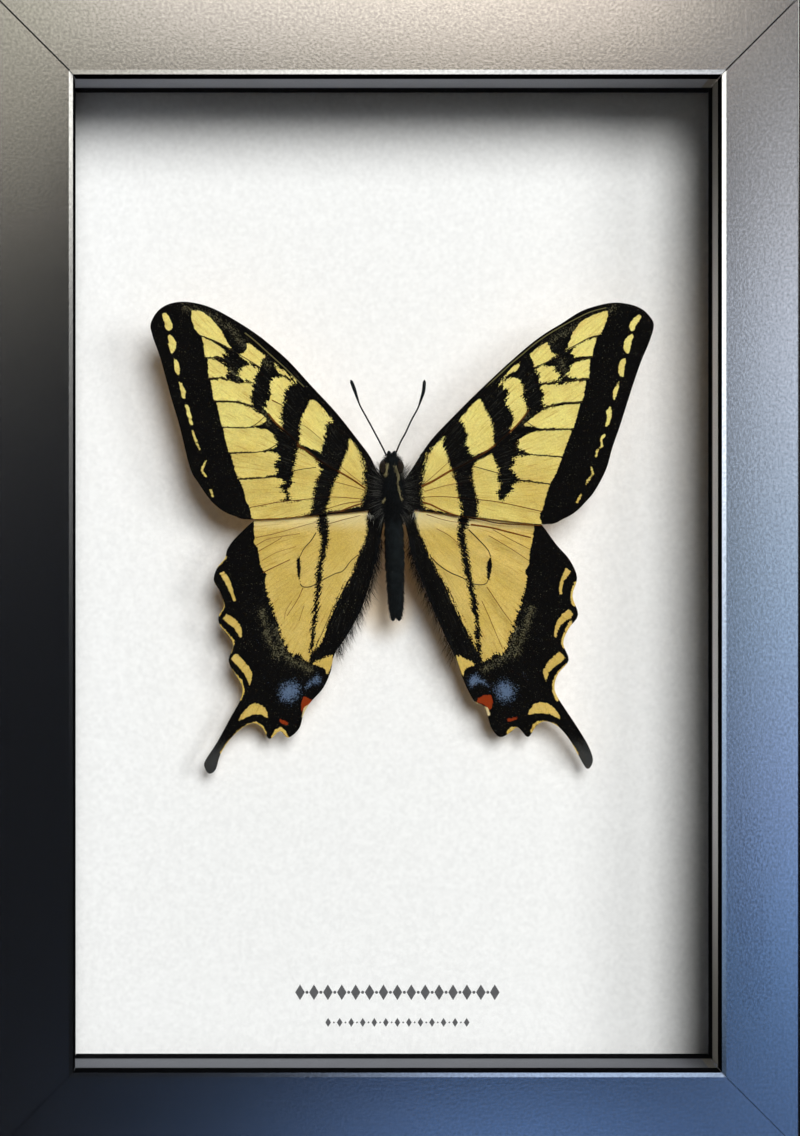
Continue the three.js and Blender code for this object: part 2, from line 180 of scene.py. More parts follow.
def grey_foamed_board():
    """Cut edge of grey foamed board, cells 0.3 mm across, with painted light and shade: darker towards the
    bottom, black behind where it meets the board, and on the right painted pale halfway up and dark grey
    towards its ends.
    """
    material, tree, shader, place = new_material(
        "grey_foamed_board", "a9aab0", Roughness=0.8, Specular_IOR_Level=0.0)
    cells = add_node(tree, "ShaderNodeTexVoronoi", {}, {"Vector": place, "Scale": 1 / 0.3})
    split = add_node(tree, "ShaderNodeSeparateXYZ", {}, {0: place})
    # Painted shade: darker towards the bottom, lighter towards the top.
    height = add_node(tree, "ShaderNodeMapRange", {},
                      {"Value": split.outputs["Z"], "From Min": 0, "From Max": FRAME_HEIGHT})
    tint = add_node(tree, "ShaderNodeMix", {"data_type": "RGBA"},
                    {0: height.outputs[0], 6: linear("7c7e84"), 7: linear("aaadb6")})
    # Painted light on the right wall, palest halfway up, with painted shade towards its ends.
    right = add_node(tree, "ShaderNodeMath", {"operation": "GREATER_THAN"},
                     {0: split.outputs["X"], 1: SIGHT_HALF_WIDTH + 0.02})
    apart = add_node(tree, "ShaderNodeMath", {"operation": "SUBTRACT"},
                     {0: split.outputs["Z"], 1: FRAME_HEIGHT / 2})
    apart = add_node(tree, "ShaderNodeMath", {"operation": "ABSOLUTE"}, {0: apart.outputs[0]})
    painted_shade_at_ends = add_node(tree, "ShaderNodeMapRange", {"interpolation_type": "SMOOTHSTEP"},
                      {"Value": apart.outputs[0], "From Min": 30, "From Max": 78})
    wear_and_painted_light = add_node(tree, "ShaderNodeMix", {"data_type": "RGBA"},
                    {0: painted_shade_at_ends.outputs[0], 6: linear("faf8f8"), 7: linear("96928a")})
    painted_light_right = add_node(tree, "ShaderNodeMix", {"data_type": "RGBA"},
                     {0: right.outputs[0], 6: tint.outputs[2], 7: wear_and_painted_light.outputs[2]})
    # Painted shade: black behind, where the wall meets the board.
    painted_shade_behind = add_node(tree, "ShaderNodeMapRange", {"interpolation_type": "SMOOTHSTEP"},
                      {"Value": split.outputs["Y"], "From Min": 3.2, "From Max": 4.4})
    painted_light_and_shade = add_node(tree, "ShaderNodeMix", {"data_type": "RGBA"},
                     {0: painted_shade_behind.outputs[0], 6: painted_light_right.outputs[2], 7: linear("0c0c0d")})
    bump = add_node(tree, "ShaderNodeBump", {"invert": True},
                    {"Height": cells.outputs["Distance"], "Strength": 0.3, "Distance": 0.05 * MM})
    tree.links.new(painted_light_and_shade.outputs[2], shader.inputs["Base Color"])
    tree.links.new(bump.outputs[0], shader.inputs["Normal"])
    return material


def raw_hardboard():
    """Pressed brown wood fibre: a felted surface of short fibres with darker flecks."""
    material, tree, shader, place = new_material("raw_hardboard", "7d5c3c", Roughness=0.8)
    stretched = add_node(tree, "ShaderNodeMapping", {}, {"Vector": place, "Scale": (0.5, 1, 2.2)})
    fibre = add_node(tree, "ShaderNodeTexNoise", {},
                     {"Vector": stretched.outputs[0], "Scale": 1 / 1.2, "Detail": 6.0, "Roughness": 0.7})
    share = add_node(tree, "ShaderNodeMapRange", {},
                     {"Value": fibre.outputs["Fac"], "From Min": 0.3, "From Max": 0.7})
    tint = add_node(tree, "ShaderNodeMix", {"data_type": "RGBA"},
                    {0: share.outputs[0], 6: linear("5f4329"), 7: linear("96714c")})
    bump = add_node(tree, "ShaderNodeBump", {},
                    {"Height": fibre.outputs["Fac"], "Strength": 0.5, "Distance": 0.15 * MM})
    tree.links.new(tint.outputs[2], shader.inputs["Base Color"])
    tree.links.new(bump.outputs[0], shader.inputs["Normal"])
    return material


def closed_cell_foam():
    """Cream foam padding: matt, with cells 0.35 mm across."""
    material, tree, shader, place = new_material("closed_cell_foam", "e2ded2", Roughness=0.85)
    cells = add_node(tree, "ShaderNodeTexVoronoi", {}, {"Vector": place, "Scale": 1 / 0.35})
    bump = add_node(tree, "ShaderNodeBump", {},
                    {"Height": cells.outputs["Distance"], "Strength": 0.6, "Distance": 0.1 * MM})
    tree.links.new(bump.outputs[0], shader.inputs["Normal"])
    return material


def stamped_metal(name, colour, wear_and_painted_light, roughness):
    """Stamped sheet metal: rolling lines 0.15 mm apart, coarser than life, and a slightly cloudy shine."""
    material, tree, shader, place = new_material(name, colour, Metallic=1.0, Roughness=roughness)
    rolled = add_node(tree, "ShaderNodeMapping", {}, {"Vector": place, "Scale": (0.08, 1, 1)})
    lines = add_node(tree, "ShaderNodeTexNoise", {},
                     {"Vector": rolled.outputs[0], "Scale": 1 / 0.15, "Detail": 2.0})
    cloud = add_node(tree, "ShaderNodeTexNoise", {}, {"Vector": place, "Scale": 1 / 2.5, "Detail": 4.0})
    tint = add_node(tree, "ShaderNodeMix", {"data_type": "RGBA"},
                    {0: cloud.outputs["Fac"], 6: linear(colour), 7: linear(wear_and_painted_light)})
    rough = add_node(tree, "ShaderNodeMapRange", {},
                     {"Value": lines.outputs["Fac"], "To Min": roughness - 0.1, "To Max": roughness + 0.15})
    bump = add_node(tree, "ShaderNodeBump", {},
                    {"Height": lines.outputs["Fac"], "Strength": 0.2, "Distance": 0.02 * MM})
    tree.links.new(tint.outputs[2], shader.inputs["Base Color"])
    tree.links.new(rough.outputs[0], shader.inputs["Roughness"])
    tree.links.new(bump.outputs[0], shader.inputs["Normal"])
    return material


def rail(side, materials):
    """A rail of the box with its sight edge rounded over, its outer edges eased and its upper mitres open."""
    name = "frame_" + side
    mesh = bmesh.new()
    mesh.from_mesh(nodes[name].data)
    bmesh.ops.transform(mesh, matrix=nodes[name].matrix_world, verts=mesh.verts[:])
    bmesh.ops.remove_doubles(mesh, verts=mesh.verts[:], dist=0.01 * MM)
    bmesh.ops.dissolve_limit(mesh, angle_limit=math.radians(1), verts=mesh.verts[:], edges=mesh.edges[:])

    def place(point):
        """How far a point is outside the sight across and up, its depth and its height, in mm."""
        across = abs(point.x) / MM - SIGHT_HALF_WIDTH
        up = abs(point.z / MM - FRAME_HEIGHT / 2) - SIGHT_HALF_HEIGHT
        return across, up, point.y / MM + FRAME_DEPTH / 2, point.z / MM

    def bevel(chosen, width, segments, clamped=True):
        """Bevels each edge whose ends and middle are all at a chosen place."""
        edges = []
        for edge in mesh.edges:
            ends = [vert.co for vert in edge.verts]
            if all(chosen(*place(spot)) for spot in ends + [(ends[0] + ends[1]) / 2]):
                edges.append(edge)
        bmesh.ops.bevel(mesh, geom=edges, offset=width * MM, offset_type="OFFSET", affect="EDGES",
                        segments=segments, profile=0.5, material=-1, clamp_overlap=clamped)

    bevel(lambda across, up, depth, z: depth < 0.01 and across < 0.01 and up < 0.01, SIGHT_ROUND, 6)
    bevel(lambda across, up, depth, z: depth < 0.01 and max(across, up) > 2 * SIGHT_ROUND, 0.1, 2)
    bevel(lambda across, up, depth, z: depth < 0.01 and abs(across - up) < 0.2 and z > FRAME_HEIGHT / 2,
          0.07, 1, clamped=False)
    for face in mesh.faces:
        across, up, depth, _ = place(face.calc_center_median())
        open_joint = abs(across - up) < 0.3 and depth < 0.1
        if open_joint or across < 0.01 and up < 0.01 and depth > SIGHT_ROUND:
            face.material_index = 1
    made = finished(name + "_rounded", mesh, materials, smooth=False)
    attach(made, "root")
    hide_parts(name)


def dress_frame():
    """Gives each CAD node of the box its finish, and rounds the edges of the wood and metal."""
    lacquer = [satin_black_lacquer(), flat_black_lip()]
    steel = stamped_metal("rolled_spring_steel", "a3a4a6", "8b8c90", 0.32)
    brass = stamped_metal("brass_plate", "c9ad68", "ad8d4c", 0.3)
    foamed = grey_foamed_board()
    finishes = {"glass_pane": clear_float_glass(), "mount_board": white_rag_board(),
                "backing_board": raw_hardboard(), "mounting_pad": closed_cell_foam(),
                "sawtooth_hanger": brass,
                "hanger_nail_left": brass, "hanger_nail_right": brass}
    roundings = {"sawtooth_hanger": 0.12, "hanger_nail_left": 0.1, "hanger_nail_right": 0.1}
    for side in ("top", "bottom", "left", "right"):
        rail(side, lacquer)
        finishes["spacer_" + side] = foamed
    for number in range(1, 7):
        finishes[f"retaining_point_{number}"] = steel
        roundings[f"retaining_point_{number}"] = 0.1
    for name, material in finishes.items():
        nodes[name].data.materials.clear()
        nodes[name].data.materials.append(material)
    for name, radius in roundings.items():
        nodes[name].modifiers.new("weld", "WELD").merge_threshold = 0.01 * MM
        bevel = nodes[name].modifiers.new("rounded edges", "BEVEL")
        bevel.width = radius * MM
        bevel.segments = 3
        bevel.limit_method = "ANGLE"
        bevel.harden_normals = False
    nodes["glass_pane"].visible_shadow = False


# ---------------------------------------------------------------- studio

CAMERA_PLACE = Vector((-15.3, -355.5, 97.55)) * MM
LAMP_TARGET = Vector((0, 8, FRAME_HEIGHT / 2)) * MM
LAMP_DISTANCE = 1800 * MM

# Each lamp: the way to it from the target, its width and height in m, and its power in W.
SOFTBOXES = {
    "key_softbox": ((0.21, -1, 0.38), (0.85, 1.0), 38.5),
    "side_softbox": ((0.82, -1, 0.24), (0.8, 0.7), 17.5),
    "back_softbox": ((-0.8, 1, 0.5), (1.0, 1.0), 45),
}

# Each card: two corners in mm, the axis along which its stops run, its strength and its stops.
GLOW_CARDS = {
    # In the camera's plane, around what the glass mirrors: these show on the face of the rails.
    "top_glow": ((-260, -361, 272), (300, -360, 420), "X", 38.5,
                 [(0.0, "24231f"), (0.25, "868577"), (0.35, "cbc3b8"), (0.45, "dad1c4"),
                  (0.52, "e4d9ca"), (0.62, "d9cdbf"), (0.72, "4e4c4a"), (0.85, "0c0d0e")]),
    "right_glow": ((130, -361, -180), (300, -360, 272), "Z", 24.5,
                   [(0.0, "243a5c"), (0.22, "48638e"), (0.34, "688bbc"), (0.46, "8ca3cf"),
                    (0.58, "a1bad6"), (0.7, "bdcbde"), (0.79, "d5deee"), (0.88, "c4c5cb"), (1.0, "848281")]),
    "left_glow": ((-280, -361, 60), (-98, -360, 272), "Z", 20,
                  [(0.0, "000000"), (0.12, "060607"), (0.36, "1d1d1e"), (0.47, "282827"),
                   (0.71, "4e4c46"), (0.81, "908b80"), (0.95, "afa89b")]),
    "bottom_glow": ((-98, -361, -220), (130, -360, -76), "X", 24,
                    [(0.0, "0a0e14"), (0.09, "0f1825"), (0.27, "22324a"), (0.39, "3c5276"),
                     (0.57, "5573a4"), (0.75, "5979ac"), (1.0, "344a6e")]),
    # Beside, below and above the box: these show on the rounded edge of the sight.
    "edge_glow_left": ((-301, -200, -60), (-300, -24, 300), "Z", 34,
                       [(0.1, "4c607a"), (0.33, "8498b0"), (0.56, "dce4f0"), (0.75, "f4f2ea")]),
    "edge_glow_right": ((300, -200, 0), (301, -24, 300), "Z", 34,
                        [(0.0, "000000"), (0.25, "0c0e10"), (0.63, "6c6c6a"), (0.88, "f4f2ea")]),
    "edge_glow_below": ((-160, -260, -201), (160, -40, -200), "X", 26,
                        [(0.2, "a8a498"), (0.5, "fffdf6"), (1.0, "c0c4cc")]),
    "edge_glow_above": ((-160, -260, 440), (160, -40, 441), "X", 24,
                        [(0.45, "000000"), (0.7, "a8bcdc"), (1.0, "b0c4e0")]),
    # Behind the box: what the metal on its back mirrors.
    "back_glow": ((-700, 700, -300), (700, 701, 900), "Z", 1.0,
                  [(0.0, "8a8884"), (0.5, "c4c6c8"), (1.0, "e6e8ea")]),
}


def finished(name, mesh, materials, smooth=True):
    """Makes an object of a bmesh whose coordinates are in metres."""
    data = bpy.data.meshes.new(name)
    mesh.to_mesh(data)
    mesh.free()
    for material in materials:
        data.materials.append(material)
    for face in data.polygons:
        face.use_smooth = smooth
    made = bpy.data.objects.new(name, data)
    bpy.context.scene.collection.objects.link(made)
    return made


def glow(name, along, span, stops, strength):
    """Light given off by a card, with its colour changing along one axis."""
    material = bpy.data.materials.new(name)
    material.use_nodes = True
    tree = material.node_tree
    tree.nodes.clear()
    coordinates = add_node(tree, "ShaderNodeTexCoord", {}, {})
    split = add_node(tree, "ShaderNodeSeparateXYZ", {}, {0: coordinates.outputs["Object"]})
    share = add_node(tree, "ShaderNodeMapRange", {},
                     {"Value": split.outputs[along], "From Min": span[0], "From Max": span[1]})
    ramp = add_node(tree, "ShaderNodeValToRGB", {}, {"Fac": share.outputs[0]})
    set_stops(ramp, stops)
    light = add_node(tree, "ShaderNodeEmission", {},
                     {"Color": ramp.outputs["Color"], "Strength": strength})
    add_node(tree, "ShaderNodeOutputMaterial", {}, {"Surface": light.outputs[0]})
    material.cycles.emission_sampling = "NONE"
    return material


def glow_card(name, corner, opposite, along, strength, stops, lights):
    """A glowing flat sheet that only the gloss of the objects that it lights mirrors."""
    corner, opposite = Vector(corner) * MM, Vector(opposite) * MM
    mesh = bmesh.new()
    bmesh.ops.create_cube(mesh, size=1, matrix=Matrix.Translation((corner + opposite) / 2)
                          @ Matrix.Diagonal((*(opposite - corner), 1)))
    span = (corner["XYZ".index(along)], opposite["XYZ".index(along)])
    card = finished(name, mesh, [glow(name, along, span, stops, strength)])
    card.visible_camera = False
    card.visible_diffuse = False
    card.visible_transmission = False
    card.visible_shadow = False
    card.light_linking.receiver_collection = lights


def softbox(name, direction, size, power):
    """An oval lamp that lights the box from a direction but doesn't show in its gloss."""
    lamp = bpy.data.lights.new(name, "AREA")
    lamp.shape = "ELLIPSE"
    lamp.size, lamp.size_y = size
    lamp.energy = power
    lamp.color = linear("fffefd")[:3]
    made = bpy.data.objects.new(name, lamp)
    bpy.context.scene.collection.objects.link(made)
    made.location = LAMP_TARGET + Vector(direction) * LAMP_DISTANCE
    made.rotation_euler = (LAMP_TARGET - made.location).to_track_quat("-Z", "Y").to_euler()
    made.visible_glossy = False
    made.visible_transmission = False
    made.visible_camera = False


def pale_floor():
    """A wide sheet of pale painted board, a little cloudy, that sends no light back up to the box."""
    material, tree, shader, place = new_material("pale_painted_board", "dcdad6", Roughness=0.7)
    cloud = add_node(tree, "ShaderNodeTexNoise", {}, {"Vector": place, "Scale": 1 / 90, "Detail": 4.0})
    tint = add_node(tree, "ShaderNodeMix", {"data_type": "RGBA"},
                    {0: cloud.outputs["Fac"], 6: linear("d8d6d2"), 7: linear("e2e0dc")})
    tree.links.new(tint.outputs[2], shader.inputs["Base Color"])
    mesh = bmesh.new()
    bmesh.ops.create_grid(mesh, x_segments=1, y_segments=1, size=2500 * MM,
                          matrix=Matrix.Translation((0, 600 * MM, 0)))
    floor = finished("floor", mesh, [material])
    floor.visible_glossy = False
    floor.visible_diffuse = False
    floor.visible_transmission = False


def set_up_studio():
    """The floor, the lamps, the cards that the lacquer mirrors, the dim room and the camera."""
    pale_floor()
    for name, setting in SOFTBOXES.items():
        softbox(name, *setting)
    # The cards light everything but the glass, so that it stays clear from every side.
    all_but_glass = bpy.data.collections.new("all_but_glass")
    all_but_glass.objects.link(nodes["glass_pane"])
    all_but_glass.collection_objects[0].light_linking.link_state = "EXCLUDE"
    for name, setting in GLOW_CARDS.items():
        glow_card(name, *setting, all_but_glass)

    world = bpy.data.worlds.new("room")
    bpy.context.scene.world = world
    world.use_nodes = True
    world.node_tree.nodes["Background"].inputs["Color"].default_value = linear("f4f6ff")
    world.node_tree.nodes["Background"].inputs["Strength"].default_value = 0.03
    world.cycles_visibility.glossy = False

    lens = bpy.data.cameras.new("camera")
    lens.lens = 64.46
    lens.shift_x = 0.0827
    lens.shift_y = 0.0006
    camera = bpy.data.objects.new("camera", lens)
    bpy.context.scene.collection.objects.link(camera)
    camera.location = CAMERA_PLACE
    camera.rotation_euler = (math.pi / 2, 0, 0)
    bpy.context.scene.camera = camera
    bpy.context.scene.view_settings.view_transform = "Standard"


# ---------------------------------------------------------------- the insect's tracing grid
# The insect is drawn on a square grid in the plane of the frame's front, x to the right and y downwards.
# A point that lies deeper than the front is on the line from the eye through its grid point.

WINGSPAN = 86.5
APEX_LEFT_X = 151.5
APEX_RIGHT_X = 652.8
APEX_DEPTH = 10.3
FOOT_GRID = (306, 568)
FOOT_PLACE = (-15.3, FRAME_HEIGHT / 2 + 0.8)
EYE_DISTANCE = 340
CELL = WINGSPAN / (APEX_RIGHT_X - APEX_LEFT_X) / (1 + APEX_DEPTH / EYE_DISTANCE)

# Depth from the frame's front at the thorax, and how much deeper each mm below it lies.
FOREWING_SET = (11.9, 0.05)
HINDWING_SET = (12.35, 0.12)
BODY_SET = (12.4, 0.1)
ANTENNA_SET = (10.8, 0)
BOARD_SET = (23.2, 0)
THORAX_GRID_Y = 489
THORAX_Z = FOOT_PLACE[1] + (FOOT_GRID[1] - THORAX_GRID_Y) * CELL * (1 + BODY_SET[0] / EYE_DISTANCE)


def placed(points, setting, lift=0):
    """Grid points on a leaning plane, in mm. Lift brings them towards the glass."""
    points = np.asarray(points, float)
    depth, lean = setting
    here = np.full(len(points), float(depth))
    # Depth and height depend on each other, and four rounds settle them.
    for _ in range(4):
        scale = CELL * (1 + here / EYE_DISTANCE)
        here = depth + lean * (THORAX_Z - FOOT_PLACE[1] - (FOOT_GRID[1] - points[:, 1]) * scale)
    here = here - lift
    scale = CELL * (1 + here / EYE_DISTANCE)
    x = FOOT_PLACE[0] + (points[:, 0] - FOOT_GRID[0]) * scale
    z = FOOT_PLACE[1] + (FOOT_GRID[1] - points[:, 1]) * scale
    return np.stack([x, here - FRAME_DEPTH / 2, z], axis=1)


def smooth_route(points, parts):
    """A smooth open line through points, with this many parts between two of them."""
    points = np.asarray(points, float)
    ends = np.vstack([2 * points[0] - points[1], points, 2 * points[-1] - points[-2]])
    steps = np.linspace(0, 1, parts, endpoint=False)[:, None]
    stretches = []
    for a, b, c, d in zip(ends, ends[1:], ends[2:], ends[3:]):
        curve = 2 * b + (c - a) * steps + (2 * a - 5 * b + 4 * c - d) * steps ** 2
        stretches.append((curve + (3 * b - a - 3 * c + d) * steps ** 3) / 2)
    return np.vstack(stretches + [points[-1:]])


def route_distance(points, route):
    """How far each grid point lies from an open line, in mm."""
    nearest = np.full(len(points), 1e9)
    route = np.asarray(route, float)
    for start, end in zip(route, route[1:]):
        along = end - start
        share = np.clip((points - start) @ along / max(along @ along, 1e-9), 0, 1)
        nearest = np.minimum(nearest, np.hypot(*(points - start - share[:, None] * along).T))
    return nearest * CELL


def inside(points, loop):
    """How far each grid point lies inside a closed outline, in mm. It is negative outside."""
    loop = np.asarray(loop, float)
    closed = np.vstack([loop, loop[:1]])
    within = np.zeros(len(points), bool)
    for (x0, y0), (x1, y1) in zip(closed, closed[1:]):
        if y0 != y1:
            crosses = (points[:, 1] > min(y0, y1)) & (points[:, 1] <= max(y0, y1))
            within ^= crosses & (points[:, 0] < x0 + (points[:, 1] - y0) * (x1 - x0) / (y1 - y0))
    away = route_distance(points, closed)
    return np.where(within, away, -away)


def inside_any(points, loops):
    """How far each grid point lies inside the nearest of these outlines, in mm."""
    return np.max([inside(points, loop) for loop in loops], axis=0)


def beside(points, routes, half_width):
    """How far each grid point lies inside a band along any of these lines, in mm."""
    return np.max([half_width - route_distance(points, route) for route in routes], axis=0)


# ---------------------------------------------------------------- wing outlines and markings
# All on the tracing grid. An outline is smooth through its points, from root to root. On a forewing the
# cells are the yellow between the veins and the black stripes, from the apex inwards, and the stripes are
# the middle lines of the black stripes whose borders are feathered. On a hindwing the field is its yellow,
# and the stripe and crescent are the black in it. A vein is its points, its radius in mm and its kind. A
# tuft is the line of its roots, its aim across and down the grid, the hairs' length in mm, their number,
# their spread and their seed.

# The material slots of a wing after the first, which is its scales. The first three are kinds of vein.
DARK, RUST, OLIVE, TUFT, UNDERSIDE = 1, 2, 3, 4, 5

FOREWING_LEFT = {
    "root": (372, 490),
    "outline": [
        (384, 482), (375.5, 468), (367, 452), (336.6, 414), (310.8, 386.4), (285, 358.9), (260.9, 337.4),
        (233.3, 319.3), (207.5, 306.4), (181.7, 302), (162, 308), (151.5, 322.7), (153, 336),
        (161, 358.9), (171.3, 396.8), (180, 426), (190.3, 467.4), (198.9, 482.9), (211, 500),
        (223, 510.4), (235, 515.6), (250.5, 519), (310, 515.5), (375, 509.5), (385, 507),
    ],
    "cells": [
        [(192, 311), (197, 310.5), (204, 313), (211, 318), (216, 324), (222, 331), (226, 339), (228, 345),
         (231, 349), (226, 345.5), (215, 341), (206, 337), (199, 334.5), (195, 328), (192, 320)],
        [(202, 337), (209, 340.5), (217, 344.5), (223, 348.5), (225, 351), (226, 355), (221, 356.5),
         (213, 357.5), (206, 357), (205, 352), (204, 345)],
        [(208, 359), (216, 359.5), (220, 361), (224, 364.5), (227, 368), (229, 372), (227, 376),
         (222, 376.5), (214, 378), (209, 378), (208.5, 370)],
        [(247, 344), (250, 343.5), (254, 347), (259, 351), (266, 356.5), (263, 359), (260.5, 363),
         (260, 367), (252, 363.5), (246, 360), (238.5, 354), (242, 354), (245, 352), (247, 348)],
        [(244, 367), (248, 365.5), (255, 367), (260, 368.5), (257, 373), (254, 378), (253, 382),
         (247, 380), (241, 378), (238, 375), (240, 372)],
        [(211, 380.5), (221, 379.5), (230, 381), (237, 383.5), (246, 382), (253, 383), (251.5, 393),
         (251, 400), (253, 405), (247, 403), (240, 401), (230, 400.5), (214, 400), (212, 387)],
        [(217, 402.5), (228, 402.5), (238, 403.5), (246, 406), (253, 409), (259, 413), (263, 415),
         (267, 420), (262, 424), (255, 425.5), (245, 427), (232, 426.5), (222, 426), (219, 412)],
        [(223, 427.5), (235, 428), (247, 428), (256, 427.5), (268, 430), (273, 434), (277, 441),
         (277, 444), (274, 448), (268, 449), (262, 451), (250, 451.5), (229, 452), (225, 436)],
        [(231, 454), (242, 453), (262, 452), (270, 451.5), (276, 453), (279, 456), (276, 461), (274, 467),
         (278, 470), (274, 474), (266, 476), (255, 477), (238, 478), (233, 462)],
        [(240, 480), (252, 479), (273, 477), (279, 479), (283, 482), (280, 487), (283, 492), (286, 499),
         (280, 502.5), (262, 506), (250, 507), (246, 500), (244, 490)],
        [(250, 507.5), (262, 506), (280, 502.5), (295, 500.5), (310, 499), (313, 500), (311, 507),
         (309, 513), (300, 516), (280, 518.5), (262, 519), (252, 518)],
        [(281, 377), (286, 377.5), (290, 380), (294, 384), (290, 386), (286, 388.5), (284, 393),
         (284, 398), (282.5, 404), (282.5, 411), (281, 417), (281, 422), (282, 428), (279, 426),
         (275, 422), (270, 416), (267, 411), (266, 407), (268, 402), (270, 399), (271, 393), (270.5, 387),
         (272, 381), (275, 378)],
        [(275, 363.5), (280, 369), (286, 372.5), (291, 377), (295, 380.5), (290, 378.5), (283, 374.5),
         (277, 371)],
        [(310, 400), (315, 400), (320, 405), (326, 413), (331, 419), (332, 422), (328, 421.5), (325, 427),
         (326, 432), (324, 438), (323, 445), (321, 452), (316, 450), (308, 447), (303, 445), (299, 444),
         (300, 437), (300.5, 428), (301, 418), (304, 413), (307, 407)],
        [(299, 448), (304, 450.5), (310, 455), (314, 459), (319, 465), (320, 470), (318, 476), (315, 482),
         (314, 488), (313, 494), (312, 499), (297, 500), (290, 498), (288, 490), (292, 484), (293, 476),
         (294, 468), (296, 460), (297, 453)],
        [(349, 439), (353, 443), (358, 450), (361, 458), (364, 466), (363, 472), (363, 480), (365, 488),
         (363, 495), (361, 500), (360, 505), (350, 508), (340, 510), (326, 511), (327, 505), (330, 500),
         (331, 493), (333, 487), (335, 481), (338, 475), (340, 470), (342, 464), (345, 456), (348, 449)],
    ],
    "dashes": [
        [(162.5, 314), (166, 313), (168.5, 316), (171, 321), (173, 327), (172, 330), (169, 331),
         (166, 328), (164.5, 322)],
        [(168.5, 335.5), (171, 335), (174, 338), (176.5, 343), (176, 348), (174, 352), (172.5, 354.5),
         (171, 352), (169.5, 347)],
        [(174.5, 359), (177, 360), (179, 363), (180.5, 369), (179, 375.5), (177, 374), (175, 369)],
        [(179.5, 382), (182, 383.5), (184.5, 388), (186, 392), (185.5, 398), (184, 400), (182.5, 397),
         (181, 391)],
        [(185.5, 405), (188.5, 405), (191, 414), (193.5, 425), (190.5, 425), (188, 415)],
    ],
    "scratches": [
        [(193, 431), (197, 443), (200, 449)], [(206, 461), (202, 470), (206, 476)],
        [(211, 490), (213, 496)],
    ],
    "stripes": [
        [(290, 388), (286, 420), (290, 440), (284, 470), (285, 498)],
        [(335, 425), (330, 455), (322, 490), (318, 515)],
        [(262, 372), (262, 400)],
        [(228, 360), (236, 374)],
        [(366, 450), (366, 500)],
    ],
    "speckles": [
        [(185, 308), (210, 315), (232, 330), (245, 345)], [(231, 370), (238, 378)],
        [(262, 356), (268, 366)], [(264, 413), (268, 423)],
    ],
    "veins": [
        ([(200, 335.5), (215, 341), (232, 350), (245, 358), (260, 367)], 0.09, DARK),
        ([(205, 357.5), (222, 358)], 0.08, DARK),
        ([(208, 378.5), (222, 378), (238, 382.5), (254, 382.5)], 0.09, DARK),
        ([(214, 401), (235, 401.5), (252, 406), (262, 412)], 0.1, DARK),
        ([(222, 427), (250, 427), (268, 414)], 0.08, DARK),
        ([(229, 452.7), (262, 451.2), (284, 440)], 0.09, DARK),
        ([(238, 479), (275, 476.5), (296, 470), (316, 467)], 0.08, DARK),
        ([(250, 507), (280, 501.5), (300, 499.5), (330, 496.5), (362, 498.5)], 0.07, RUST),
        ([(296, 445), (306, 450), (318, 459), (330, 467), (340, 472), (352, 479), (365, 488)], 0.2, RUST),
        ([(268, 413), (275, 422), (283, 429), (292, 437), (300, 446)], 0.16, RUST),
        ([(340, 511), (352, 506), (362, 503)], 0.16, RUST),
        ([(366, 486), (350, 474), (336, 462)], 0.05, RUST),
        ([(365, 490), (345, 484), (324, 479)], 0.05, RUST),
        ([(363, 501), (345, 503), (322, 510)], 0.07, RUST),
        ([(350, 437), (338, 428), (326, 421)], 0.04, RUST),
        ([(322, 440), (308, 428), (300, 424)], 0.04, RUST),
        ([(272, 400), (282, 405)], 0.1, RUST),
        ([(251, 519), (280, 518), (300, 516), (330, 512), (370, 509)], 0.06, RUST),
        ([(245, 333), (255, 341), (265, 350), (275, 359), (285, 368), (295, 378), (304, 387)], 0.11,
          OLIVE),
        ([(260, 338), (286, 360), (311, 387), (337, 415), (366, 452)], 0.2, DARK),
    ],
    "tuft": ([(366, 512), (372, 516)], (0.25, 1), 1.1, 15, 0.3, 31),
}
